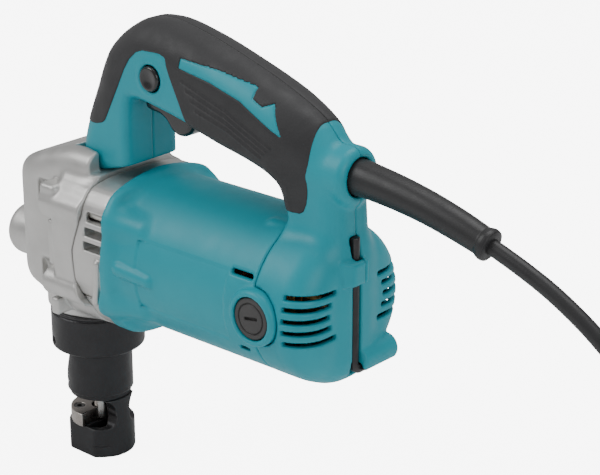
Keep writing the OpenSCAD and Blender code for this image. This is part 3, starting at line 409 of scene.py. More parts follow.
def plate(points: Outline, y0: float, y1: float, ease: float = 0.4) -> Shape:
    """Return a plate cut to an outline in X and Z, from y0 to y1, with round edges.

    Args:
        points: Corners of the outline in X and Z.
        y0: Left face.
        y1: Right face.
        ease: Radius of its edges.

    Returns:
        The solid.
    """
    middle, half = (y0 + y1) / 2, (y1 - y0) / 2
    table = OutlineTable.of(points)

    def rule(x: Array, y: Array, z: Array) -> Array:
        """Distance to the plate.

        Args:
            x: First coordinate.
            y: Second coordinate.
            z: Third coordinate.

        Returns:
            The distance, negative inside.
        """
        edge = table.at(x, z) + ease
        face = np.abs(y - middle) - half + ease
        return eased(edge, face, ease)

    return Shape(rule)


def section(points: Outline, x0: float, x1: float, ease: float = 0.4) -> Shape:
    """Return a block cut to an outline in Y and Z, from x0 to x1, with round edges.

    Args:
        points: Corners of the outline in Y and Z.
        x0: Front face.
        x1: Rear face.
        ease: Radius of its edges.

    Returns:
        The solid.
    """
    middle, half = (x0 + x1) / 2, (x1 - x0) / 2
    table = OutlineTable.of(points)

    def rule(x: Array, y: Array, z: Array) -> Array:
        """Distance to the block.

        Args:
            x: First coordinate.
            y: Second coordinate.
            z: Third coordinate.

        Returns:
            The distance, negative inside.
        """
        edge = table.at(y, z) + ease
        face = np.abs(x - middle) - half + ease
        return eased(edge, face, ease)

    return Shape(rule)


def plane(point: Point, outward: Point) -> Shape:
    """Return the half space behind a plane through a point, whose outward side is empty.

    Args:
        point: A point of the plane.
        outward: Direction of the empty side.

    Returns:
        The solid.
    """
    size = math.sqrt(sum(c * c for c in outward))
    n = [c / size for c in outward]
    return Shape(lambda x, y, z: (x - point[0]) * n[0] + (y - point[1]) * n[1] + (z - point[2]) * n[2])


@dataclass(frozen=True)
class Mesher:
    """Turns a solid into a smooth mesh on a grid of cells.

    Args:
        low: Lowest corner of the region.
        high: Highest corner of the region.
        step: Size of a cell.
    """

    low: Point
    high: Point
    step: float

    def build(self, name: str, shape: Shape) -> bpy.types.Object:
        """Return a new mesh object of the solid.

        Args:
            name: Name of the object.
            shape: The solid.

        Returns:
            The object.
        """
        start = np.array(self.low, np.float32) - 1.7 * self.step
        axes = [
            np.arange(a, b + 2.5 * self.step, self.step, dtype=np.float32) for a, b in zip(start, self.high)
        ]
        values = shape.rule(axes[0][:, None, None], axes[1][None, :, None], axes[2][None, None, :])
        values = np.broadcast_to(values, [len(a) for a in axes]).astype(np.float32)
        points, faces = self._net(values)
        points = self._settle(points * self.step + start, shape)
        return mesh_object(name, points * MM, faces)

    @staticmethod
    def _net(values: Array) -> tuple[Array, Array]:
        """Return the vertices, in cell units, and the four-sided faces of the zero surface.

        Args:
            values: Distances at the grid's points.

        Returns:
            The vertices and the faces.
        """
        inside = values < 0
        corners = [(a, b, c) for a in (0, 1) for b in (0, 1) for c in (0, 1)]
        size = [n - 1 for n in values.shape]

        def corner(grid: Array, at: tuple[int, int, int]) -> Array:
            """Return the grid's values at one corner of every cell.

            Args:
                grid: Values at the grid's points.
                at: The corner.

            Returns:
                The values, one for each cell.
            """
            return grid[tuple(slice(o, o + n) for o, n in zip(at, size))]

        count = sum(corner(inside, at).astype(np.uint8) for at in corners)
        cells = np.argwhere((count > 0) & (count < 8))
        index = np.full(size, -1, np.int32)
        index[tuple(cells.T)] = np.arange(len(cells))
        held = {at: values[tuple((cells + at).T)] for at in corners}
        total = np.zeros((len(cells), 3), np.float32)
        hits = np.zeros(len(cells), np.float32)
        for at in corners:
            for axis in range(3):
                if at[axis]:
                    continue
                to = tuple(1 if k == axis else at[k] for k in range(3))
                a, b = held[at], held[to]
                crossing = (a < 0) != (b < 0)
                t = np.where(crossing, a / np.where(crossing, a - b, 1), 0)
                spot = np.tile(np.array(at, np.float32), (len(cells), 1))
                spot[:, axis] += t
                total += spot * crossing[:, None]
                hits += crossing
        points = cells + total / hits[:, None]
        faces = []
        for axis in range(3):
            b, c = (axis + 1) % 3, (axis + 2) % 3
            near = [slice(1, n) for n in size]
            near[axis] = slice(0, size[axis])
            far = list(near)
            far[axis] = slice(1, size[axis] + 1)
            from_in = inside[tuple(near)]
            changed = np.argwhere(from_in != inside[tuple(far)])
            offset = np.array([0 if k == axis else 1 for k in range(3)])
            spots = changed + offset
            quad = []
            for step_b, step_c in ((-1, -1), (0, -1), (0, 0), (-1, 0)):
                at = spots.copy()
                at[:, b] += step_b
                at[:, c] += step_c
                quad.append(index[tuple(at.T)])
            face = np.stack(quad, 1)
            outward = from_in[tuple(changed.T)]
            faces.append(np.where(outward[:, None], face, face[:, ::-1]))
        return points, np.concatenate(faces)

    def _settle(self, points: Array, shape: Shape) -> Array:
        """Return the vertices moved onto the zero surface.

        Args:
            points: Vertices in millimetres.
            shape: The solid.

        Returns:
            The moved vertices.
        """
        reach = 0.08
        p = points.astype(np.float64)
        for _ in range(3):
            x, y, z = p.T
            here = shape.rule(x, y, z)
            slope = np.stack(
                [
                    shape.rule(x + reach, y, z) - shape.rule(x - reach, y, z),
                    shape.rule(x, y + reach, z) - shape.rule(x, y - reach, z),
                    shape.rule(x, y, z + reach) - shape.rule(x, y, z - reach),
                ],
                1,
            ) / (2 * reach)
            size2 = np.maximum((slope**2).sum(1), 0.25)
            move = np.clip(here / size2, -0.45 * self.step, 0.45 * self.step)
            p -= slope * move[:, None]
        return p


def mesh_object(name: str, points: Array, faces: Array) -> bpy.types.Object:
    """Return a smooth-shaded object of four-sided faces.

    Args:
        name: Name of the object.
        points: Vertices in metres.
        faces: Rows of four vertex numbers.

    Returns:
        The object, linked to the scene.
    """
    mesh = bpy.data.meshes.new(name)
    mesh.vertices.add(len(points))
    mesh.vertices.foreach_set("co", np.asarray(points, np.float32).ravel())
    mesh.loops.add(faces.size)
    mesh.loops.foreach_set("vertex_index", np.ascontiguousarray(faces, np.int32).ravel())
    mesh.polygons.add(len(faces))
    mesh.polygons.foreach_set("loop_start", np.arange(0, faces.size, 4, dtype=np.int32))
    mesh.polygons.foreach_set("use_smooth", np.ones(len(faces), bool))
    mesh.update(calc_edges=True)
    mesh.validate()
    obj = bpy.data.objects.new(name, mesh)
    bpy.context.scene.collection.objects.link(obj)
    return obj


# ---------------------------------------------------------------- sweeps


def curve_points(path: Sequence[Point], per_span: int) -> Array:
    """Return points on a smooth curve through a path's points.

    Args:
        path: Points that the curve passes through.
        per_span: Points made for each span.

    Returns:
        Rows of X, Y and Z.
    """
    p = np.array(path, float)
    rows = []
    for i in range(len(p) - 1):
        a, b, c, d = p[max(0, i - 1)], p[i], p[i + 1], p[min(len(p) - 1, i + 2)]
        for t in np.arange(per_span) / per_span:
            square, cube = 2 * a - 5 * b + 4 * c - d, 3 * b - a - 3 * c + d
            cubic = 2 * b + (c - a) * t + square * t**2 + cube * t**3
            rows.append(cubic / 2)
    rows.append(p[-1])
    return np.array(rows)


@dataclass(frozen=True)
class Sweep:
    """Tube along a line, with a radius of its own at each point.

    Args:
        line: Points along the middle, in millimetres.
        radii: Radius at each point.
        sides: Points round the tube.
        phase: Angle of the first one, in degrees.
    """

    line: Array
    radii: Sequence[float]
    sides: int = 40
    phase: float = 0.0

    def build(self, name: str) -> bpy.types.Object:
        """Return a new mesh object of the tube, closed at both ends.

        Args:
            name: Name of the object.

        Returns:
            The object.
        """
        n = len(self.line)
        tangents = np.gradient(self.line, axis=0)
        tangents /= np.linalg.norm(tangents, axis=1)[:, None]
        side = np.cross(tangents[0], (0.05, 1.0, 0.02))
        rings = []
        for k in range(n):
            side = side - tangents[k] * (side @ tangents[k])
            side /= np.linalg.norm(side)
            other = np.cross(tangents[k], side)
            turn = np.radians(self.phase + np.arange(self.sides) * 360 / self.sides)[:, None]
            rings.append(self.line[k] + self.radii[k] * (np.cos(turn) * side + np.sin(turn) * other))
        points = np.concatenate([self.line[:1], *rings, self.line[-1:]])
        faces = []
        for k in range(n - 1):
            for j in range(self.sides):
                a = 1 + k * self.sides + j
                b = 1 + k * self.sides + (j + 1) % self.sides
                faces.append((a, b, b + self.sides, a + self.sides))
        last = 1 + (n - 1) * self.sides
        mesh = bpy.data.meshes.new(name)
        caps = []
        for j in range(self.sides):
            k = (j + 1) % self.sides
            caps.append((0, 1 + k, 1 + j))
            caps.append((last + self.sides, last + j, last + k))
        mesh.from_pydata((points * MM).tolist(), [], faces + caps)
        mesh.polygons.foreach_set("use_smooth", [True] * len(faces) + [False] * len(caps))
        mesh.update()
        obj = bpy.data.objects.new(name, mesh)
        bpy.context.scene.collection.objects.link(obj)
        return obj


# ---------------------------------------------------------------- shader groups


class GroupKit:
    """Shader node groups that several finishes share, each built once."""

    def __init__(self) -> None:
        """Build the groups."""
        self.grain = self._grain()
        self.mottle = self._mottle()
        self.wear = self._wear()
        self.turned = self._turned()

    @staticmethod
    def _open(
        name: str, inputs: Sequence[tuple[str, str, float]], outputs: Sequence[tuple[str, str]]
    ) -> tuple[bpy.types.NodeTree, bpy.types.Node, bpy.types.Node]:
        """Return a new group with its end nodes.

        Args:
            name: Name of the group.
            inputs: Name, socket type and default of each input.
            outputs: Name and socket type of each output.

        Returns:
            The group, its input node and its output node.
        """
        group = bpy.data.node_groups.new(name, "ShaderNodeTree")
        for label, kind, default in inputs:
            socket = group.interface.new_socket(name=label, in_out="INPUT", socket_type=kind)
            if kind == "NodeSocketFloat":
                socket.default_value = default
        for label, kind in outputs:
            group.interface.new_socket(name=label, in_out="OUTPUT", socket_type=kind)
        return group, group.nodes.new("NodeGroupInput"), group.nodes.new("NodeGroupOutput")

    @classmethod
    def _grain(cls) -> bpy.types.NodeTree:
        """Return the group for fine relief: a noise and a cell pattern mixed into a height.

        Returns:
            The group.
        """
        group, start, end = cls._open(
            "fine_grain",
            [
                ("Vector", "NodeSocketVector", 0),
                ("Scale", "NodeSocketFloat", 900),
                ("Cells", "NodeSocketFloat", 0.4),
            ],
            [("Height", "NodeSocketFloat")],
        )
        noise = group.nodes.new("ShaderNodeTexNoise")
        noise.inputs["Detail"].default_value = 4
        cells = group.nodes.new("ShaderNodeTexVoronoi")
        mix = group.nodes.new("ShaderNodeMix")
        link = group.links.new
        link(start.outputs["Vector"], noise.inputs["Vector"])
        link(start.outputs["Vector"], cells.inputs["Vector"])
        link(start.outputs["Scale"], noise.inputs["Scale"])
        link(start.outputs["Scale"], cells.inputs["Scale"])
        link(start.outputs["Cells"], mix.inputs[0])
        link(noise.outputs["Fac"], mix.inputs[2])
        link(cells.outputs["Distance"], mix.inputs[3])
        link(mix.outputs[0], end.inputs["Height"])
        return group

    @classmethod
    def _mottle(cls) -> bpy.types.NodeTree:
        """Return the group for slow changes of tone over a surface.

        Returns:
            The group.
        """
        group, start, end = cls._open(
            "slow_mottle",
            [
                ("Vector", "NodeSocketVector", 0),
                ("Scale", "NodeSocketFloat", 40),
                ("Low", "NodeSocketFloat", 0.0),
                ("High", "NodeSocketFloat", 1.0),
            ],
            [("Value", "NodeSocketFloat")],
        )
        noise = group.nodes.new("ShaderNodeTexNoise")
        noise.inputs["Detail"].default_value = 5
        noise.inputs["Roughness"].default_value = 0.6
        spread = group.nodes.new("ShaderNodeMapRange")
        spread.inputs["From Min"].default_value = 0.3
        spread.inputs["From Max"].default_value = 0.7
        link = group.links.new
        link(start.outputs["Vector"], noise.inputs["Vector"])
        link(start.outputs["Scale"], noise.inputs["Scale"])
        link(noise.outputs["Fac"], spread.inputs["Value"])
        link(start.outputs["Low"], spread.inputs["To Min"])
        link(start.outputs["High"], spread.inputs["To Max"])
        link(spread.outputs["Result"], end.inputs["Value"])
        return group

    @classmethod
    def _wear(cls) -> bpy.types.NodeTree:
        """Return the group for rubbed edges: a mask from the surface's sharpness, broken up by noise.

        Returns:
            The group.
        """
        group, start, end = cls._open(
            "edge_wear",
            [
                ("Vector", "NodeSocketVector", 0),
                ("Start", "NodeSocketFloat", 0.52),
                ("Full", "NodeSocketFloat", 0.6),
                ("Amount", "NodeSocketFloat", 0.5),
            ],
            [("Mask", "NodeSocketFloat")],
        )
        geometry = group.nodes.new("ShaderNodeNewGeometry")
        spread = group.nodes.new("ShaderNodeMapRange")
        noise = group.nodes.new("ShaderNodeTexNoise")
        noise.inputs["Scale"].default_value = 260
        noise.inputs["Detail"].default_value = 3
        broken = group.nodes.new("ShaderNodeMath")
        broken.operation = "MULTIPLY"
        scaled = group.nodes.new("ShaderNodeMath")
        scaled.operation = "MULTIPLY"
        link = group.links.new
        link(geometry.outputs["Pointiness"], spread.inputs["Value"])
        link(start.outputs["Start"], spread.inputs["From Min"])
        link(start.outputs["Full"], spread.inputs["From Max"])
        link(start.outputs["Vector"], noise.inputs["Vector"])
        link(spread.outputs["Result"], broken.inputs[0])
        link(noise.outputs["Fac"], broken.inputs[1])
        link(broken.outputs["Value"], scaled.inputs[0])
        link(start.outputs["Amount"], scaled.inputs[1])
        link(scaled.outputs["Value"], end.inputs["Mask"])
        return group

    @classmethod
    def _turned(cls) -> bpy.types.NodeTree:
        """Return the group for tool marks: fine rings stacked along one direction.

        Returns:
            The group.
        """
        group, start, end = cls._open(
            "tool_marks",
            [("Vector", "NodeSocketVector", 0), ("Scale", "NodeSocketFloat", 1.0)],
            [("Height", "NodeSocketFloat")],
        )
        noise = group.nodes.new("ShaderNodeTexNoise")
        noise.inputs["Detail"].default_value = 6
        noise.inputs["Roughness"].default_value = 0.7
        link = group.links.new
        link(start.outputs["Vector"], noise.inputs["Vector"])
        link(start.outputs["Scale"], noise.inputs["Scale"])
        link(noise.outputs["Fac"], end.inputs["Height"])
        return group


@dataclass(frozen=True)
class Finish:
    """Finish of one kind of surface.

    Args:
        slot: Material slot of the record.
        colour: Main colour, linear RGB.
        tint: Colour that the mottle reaches.
        roughness: Lowest and highest roughness.
        metallic: 1 for bare metal, 0 for the rest.
        texture: Fine relief.
        grain_scale: Grains per metre.
        grain_depth: Height of the relief in metres.
        coat: Weight of the clear coat.
        sheen: Weight of the sheen.
        specular: Specular level.
        worn: Colour of rubbed edges.
        wear: Share of wear on edges.
        stretch: How much the relief is drawn out, per axis.
        anisotropy: Stretch of the highlight.
    """

    slot: str
    colour: tuple[float, float, float]
    tint: tuple[float, float, float]
    roughness: tuple[float, float] = (0.35, 0.5)
    metallic: float = 0.0
    texture: Texture = Texture.MOULDED
    grain_scale: float = 1400.0
    grain_depth: float = 0.00004
    coat: float = 0.0
    sheen: float = 0.0
    specular: float = 0.5
    worn: tuple[float, float, float] = (0.6, 0.6, 0.6)
    wear: float = 0.0
    stretch: Point = (1.0, 1.0, 1.0)
    anisotropy: float = 0.0

    def material(self, groups: GroupKit, name: str) -> bpy.types.Material:
        """Return a new material of this finish.

        Args:
            groups: The shared shader groups.
            name: Name of the material.

        Returns:
            The material.
        """
        made = bpy.data.materials.new(name)
        made.use_nodes = True
        tree = made.node_tree
        tree.nodes.clear()
        link = tree.links.new
        output = tree.nodes.new("ShaderNodeOutputMaterial")
        shader = tree.nodes.new("ShaderNodeBsdfPrincipled")
        link(shader.outputs[0], output.inputs["Surface"])
        for socket, value in (
            ("Metallic", self.metallic),
            ("Coat Weight", self.coat),
            ("Sheen Weight", self.sheen),
            ("Specular IOR Level", self.specular),
            ("Anisotropic", self.anisotropy),
        ):
            shader.inputs[socket].default_value = value
        place = tree.nodes.new("ShaderNodeTexCoord")
        slow = self._placed(tree, groups.mottle, place.outputs["Object"], Scale=42.0)
        base = self._mixed(tree, slow.outputs["Value"], self.colour, self.tint)
        if self.wear > 0:
            worn = self._placed(tree, groups.wear, place.outputs["Object"], Amount=self.wear)
            base = self._mixed(tree, worn.outputs["Mask"], base, self.worn)
        link(base, shader.inputs["Base Color"])
        low, high = self.roughness
        rough = self._placed(tree, groups.mottle, place.outputs["Object"], Scale=130.0, Low=low, High=high)
        link(rough.outputs["Value"], shader.inputs["Roughness"])
        link(self._relief(tree, groups, place), shader.inputs["Normal"])
        return made

    def _relief(
        self, tree: bpy.types.NodeTree, groups: GroupKit, place: bpy.types.Node
    ) -> bpy.types.NodeSocket:
        """Return the normal that the fine relief gives.

        Args:
            tree: The material's node tree.
            groups: The shared shader groups.
            place: The texture coordinate node.

        Returns:
            The bump node's normal output.
        """
        drawn = tree.nodes.new("ShaderNodeMapping")
        drawn.inputs["Scale"].default_value = self.stretch
        tree.links.new(place.outputs["Object"], drawn.inputs["Vector"])
        bump = tree.nodes.new("ShaderNodeBump")
        bump.inputs["Distance"].default_value = self.grain_depth
        bump.inputs["Strength"].default_value = 1.0
        if self.texture in (Texture.TURNED, Texture.GROUND, Texture.WOUND):
            marks = self._placed(tree, groups.turned, drawn.outputs["Vector"], Scale=self.grain_scale)
        else:
            cells = {Texture.MOULDED: 0.35, Texture.RUBBER: 0.7, Texture.CAST: 0.5}[self.texture]
            way = drawn.outputs["Vector"]
            marks = self._placed(tree, groups.grain, way, Scale=self.grain_scale, Cells=cells)
        tree.links.new(marks.outputs["Height"], bump.inputs["Height"])
        return bump.outputs["Normal"]

    @staticmethod
    def _placed(
        tree: bpy.types.NodeTree, group: bpy.types.NodeTree, vector: bpy.types.NodeSocket, **values: float
    ) -> bpy.types.Node:
        """Return a shared group placed in a material with its own values.

        Args:
            tree: The material's node tree.
            group: The shared group.
            vector: Coordinates that it reads.
            values: Value of each of its other inputs.

        Returns:
            The placed node.
        """
        node = tree.nodes.new("ShaderNodeGroup")
        node.node_tree = group
        tree.links.new(vector, node.inputs["Vector"])
        for label, value in values.items():
            node.inputs[label].default_value = value
        return node

    @staticmethod
    def _mixed(
        tree: bpy.types.NodeTree,
        share: bpy.types.NodeSocket,
        first: bpy.types.NodeSocket | tuple[float, float, float],
        second: tuple[float, float, float],
    ) -> bpy.types.NodeSocket:
        """Return a colour mixed between two by a mask.

        Args:
            tree: The material's node tree.
            share: The mask.
            first: Colour or socket where the mask is 0.
            second: Colour where the mask is 1.

        Returns:
            The mixed colour.
        """
        mix = tree.nodes.new("ShaderNodeMix")
        mix.data_type = "RGBA"
        tree.links.new(share, mix.inputs[0])
        if isinstance(first, tuple):
            mix.inputs[6].default_value = (*first, 1)
        else:
            tree.links.new(first, mix.inputs[6])
        mix.inputs[7].default_value = (*second, 1)
        return mix.outputs[2]


TEAL = Finish(
    "teal_plastic", (0.006, 0.340, 0.425), (0.008, 0.368, 0.452), (0.36, 0.46), grain_depth=0.00002,
    specular=0.42,
)
RUBBER = Finish(
    "soft_rubber", (0.026, 0.026, 0.028), (0.034, 0.034, 0.036), (0.46, 0.62), texture=Texture.RUBBER,
    grain_scale=1700.0, grain_depth=0.00006, sheen=0.08, specular=0.45,
)
CORD_RUBBER = Finish(
    "cord_rubber", (0.022, 0.022, 0.024), (0.030, 0.030, 0.031), (0.36, 0.5), texture=Texture.RUBBER,
    grain_scale=1300.0, grain_depth=0.00003, specular=0.5,
)
CAST = Finish(
    "cast_aluminium", (0.60, 0.595, 0.58), (0.68, 0.675, 0.66), (0.38, 0.52), metallic=0.85,
    texture=Texture.CAST, grain_scale=1500.0, grain_depth=0.00005, worn=(0.82, 0.82, 0.8), wear=0.35,
)
BLACK_OXIDE = Finish(
    "black_oxide_steel", (0.030, 0.030, 0.032), (0.042, 0.042, 0.045), (0.30, 0.44), metallic=0.55,
    texture=Texture.TURNED, grain_scale=30.0, grain_depth=0.00007, worn=(0.35, 0.34, 0.33), wear=0.5,
    stretch=(1.0, 1.0, 70.0), anisotropy=0.3,
)
BRIGHT = Finish(
    "bright_steel", (0.60, 0.585, 0.57), (0.50, 0.48, 0.46), (0.2, 0.34), metallic=1.0,
    texture=Texture.GROUND, grain_scale=40.0, grain_depth=0.00002, worn=(0.85, 0.84, 0.82), wear=0.5,
    stretch=(1.0, 25.0, 25.0),
)
DIE_STEEL = Finish(
    "bright_steel", (0.52, 0.48, 0.45), (0.38, 0.34, 0.31), (0.24, 0.38), metallic=1.0,
    texture=Texture.GROUND, grain_scale=60.0, grain_depth=0.00004, worn=(0.85, 0.84, 0.82), wear=0.7,
    stretch=(25.0, 1.0, 25.0),
)
ZINC = Finish(
    "zinc_steel", (0.58, 0.58, 0.56), (0.66, 0.65, 0.60), (0.26, 0.4), metallic=1.0, texture=Texture.TURNED,
    grain_scale=50.0, grain_depth=0.00002, stretch=(1.0, 30.0, 1.0),
)
GLOSS_BLACK = Finish(
    "black_plastic", (0.010, 0.010, 0.011), (0.016, 0.016, 0.017), (0.16, 0.26), coat=0.4,
    grain_depth=0.000006,
)
GREY_PLASTIC = Finish(
    "grey_plastic", (0.045, 0.043, 0.043), (0.058, 0.056, 0.055), (0.4, 0.52), grain_depth=0.00003,
)
COPPER = Finish(
    "copper_wire", (0.55, 0.22, 0.09), (0.36, 0.13, 0.05), (0.22, 0.36), metallic=0.9,
    texture=Texture.WOUND,
    grain_scale=30.0, grain_depth=0.0002, coat=0.3, stretch=(1.0, 45.0, 45.0),
)
BRASS = Finish(
    "brass", (0.62, 0.43, 0.16), (0.52, 0.34, 0.11), (0.24, 0.38), metallic=1.0, texture=Texture.TURNED,
    grain_scale=40.0, grain_depth=0.00003, stretch=(25.0, 1.0, 1.0),
)
BRONZE = Finish(
    "bronze", (0.40, 0.25, 0.10), (0.32, 0.20, 0.08), (0.34, 0.48), metallic=0.95, texture=Texture.CAST,
    grain_scale=1900.0, grain_depth=0.00004,
)
CARBON = Finish(
    "carbon", (0.025, 0.025, 0.027), (0.04, 0.04, 0.042), (0.5, 0.7), texture=Texture.CAST,
    grain_depth=0.00004,
)
CORE_STEEL = Finish(
    "core_steel", (0.10, 0.10, 0.11), (0.16, 0.155, 0.15), (0.34, 0.5), metallic=0.9,
    texture=Texture.TURNED,
    grain_scale=60.0, grain_depth=0.0001, stretch=(30.0, 1.0, 1.0),
)


@dataclass
class Paintbox:
    """Makes each finish's material once and puts it on objects."""

    groups: GroupKit = field(default_factory=GroupKit)
    made: dict[str, bpy.types.Material] = field(default_factory=dict)

    def put(self, obj: bpy.types.Object, finish: Finish, name: str) -> None:
        """Give an object one finish all over.

        Args:
            obj: The object.
            finish: Its finish.
            name: Name of the material.
        """
        if name not in self.made:
            self.made[name] = finish.material(self.groups, name)
        if obj.material_slots:
            for slot in obj.material_slots:
                slot.link = "OBJECT"
                slot.material = self.made[name]
        else:
            obj.data.materials.append(self.made[name])


@dataclass
class Assembly:
    """Group of pieces that are built and dressed together.

    Args:
        paints: The shared finishes.
    """

    paints: Paintbox

    def fit(
        self, obj: bpy.types.Object, finish: Finish, body: str, replaces: Sequence[str] = (), paint: str = ""
    ) -> bpy.types.Object:
        """Dress a new piece and put it on its body.

        Args:
            obj: The piece.
            finish: Its finish.
            body: The body that it moves with.
            replaces: The plain solids that it stands for.
            paint: Name of its material; the finish's slot if left out.

        Returns:
            The piece.
        """
        self.paints.put(obj, finish, paint or finish.slot)
        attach(obj, body)
        if replaces:
            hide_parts(*replaces)
        LOG.info("%s: %d faces", obj.name, len(obj.data.polygons) if obj.type == "MESH" else 0)
        return obj


# ---------------------------------------------------------------- camera, room and cord


@dataclass(frozen=True)
class Studio:
    """Camera, pale floor and soft lights.

    Args:
        eye: Place of the camera, in metres.
        turn: Camera angles in degrees.
        lens: Focal length in millimetres on a 36 mm wide sensor.
    """

    eye: Point = (0.63126, -0.56392, 0.43287)
    turn: Point = (69.1, 0.0, 41.44)
    lens: float = 110.86

    def build(self) -> None:
        """Build the camera, the floor and the lights."""
        data = bpy.data.cameras.new("camera")
        data.lens = self.lens
        data.sensor_width = 36.0
        data.clip_start = 0.02
        data.clip_end = 50.0
        data.dof.use_dof = False
        camera = bpy.data.objects.new("camera", data)
        camera.location = self.eye
        camera.rotation_euler = [math.radians(a) for a in self.turn]
        bpy.context.scene.collection.objects.link(camera)
        bpy.context.scene.camera = camera
        self._floor()
        self._light("key", (-0.9, -1.1, 1.5), 1.1, 15.0)
        self._light("fill", (1.7, -0.5, 0.9), 0.9, 6.0)
        self._light("top", (0.2, 0.5, 1.8), 1.2, 13.0)
        world = bpy.data.worlds.new("room")
        world.use_nodes = True
        shade = world.node_tree.nodes["Background"]
        shade.inputs["Color"].default_value = (1.0, 1.0, 1.0, 1.0)
        shade.inputs["Strength"].default_value = ROOM_LIGHT
        bpy.context.scene.world = world

    @staticmethod
    def _floor() -> None:
        """Build the pale floor."""
        half = FLOOR_HALF
        corners = [(-half, -half, 0), (half, -half, 0), (half, half, 0), (-half, half, 0)]
        mesh = bpy.data.meshes.new("floor")
        mesh.from_pydata(corners, [], [(0, 1, 2, 3)])
        floor = bpy.data.objects.new("floor", mesh)
        paint = bpy.data.materials.new("floor_paper")
        paint.use_nodes = True
        shader = paint.node_tree.nodes["Principled BSDF"]
        shader.inputs["Base Color"].default_value = (0.93, 0.93, 0.93, 1)
        shader.inputs["Roughness"].default_value = 0.9
        seen = paint.node_tree.nodes.new("ShaderNodeLightPath")
        glow = paint.node_tree.nodes.new("ShaderNodeMath")
        glow.operation = "MULTIPLY"
        glow.inputs[1].default_value = FLOOR_GLOW
        shader.inputs["Emission Color"].default_value = (1, 1, 1, 1)
        paint.node_tree.links.new(seen.outputs["Is Camera Ray"], glow.inputs[0])
        paint.node_tree.links.new(glow.outputs["Value"], shader.inputs["Emission Strength"])
        mesh.materials.append(paint)
        bpy.context.scene.collection.objects.link(floor)
        floor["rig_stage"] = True

    @staticmethod
    def _light(name: str, place: Point, size: float, power: float) -> None:
        """Build one soft square light that faces the tool.

        Args:
            name: Name of the light.
            place: Where it stands, in metres.
            size: Side of the square, in metres.
            power: Power in watts.
        """
        data = bpy.data.lights.new(name, "AREA")
        data.size = size
        data.energy = power
        light = bpy.data.objects.new(name, data)
        light.location = place
        aim = Vector(LIGHT_AIM) - Vector(place)
        light.rotation_euler = aim.to_track_quat("-Z", "Y").to_euler()
        bpy.context.scene.collection.objects.link(light)


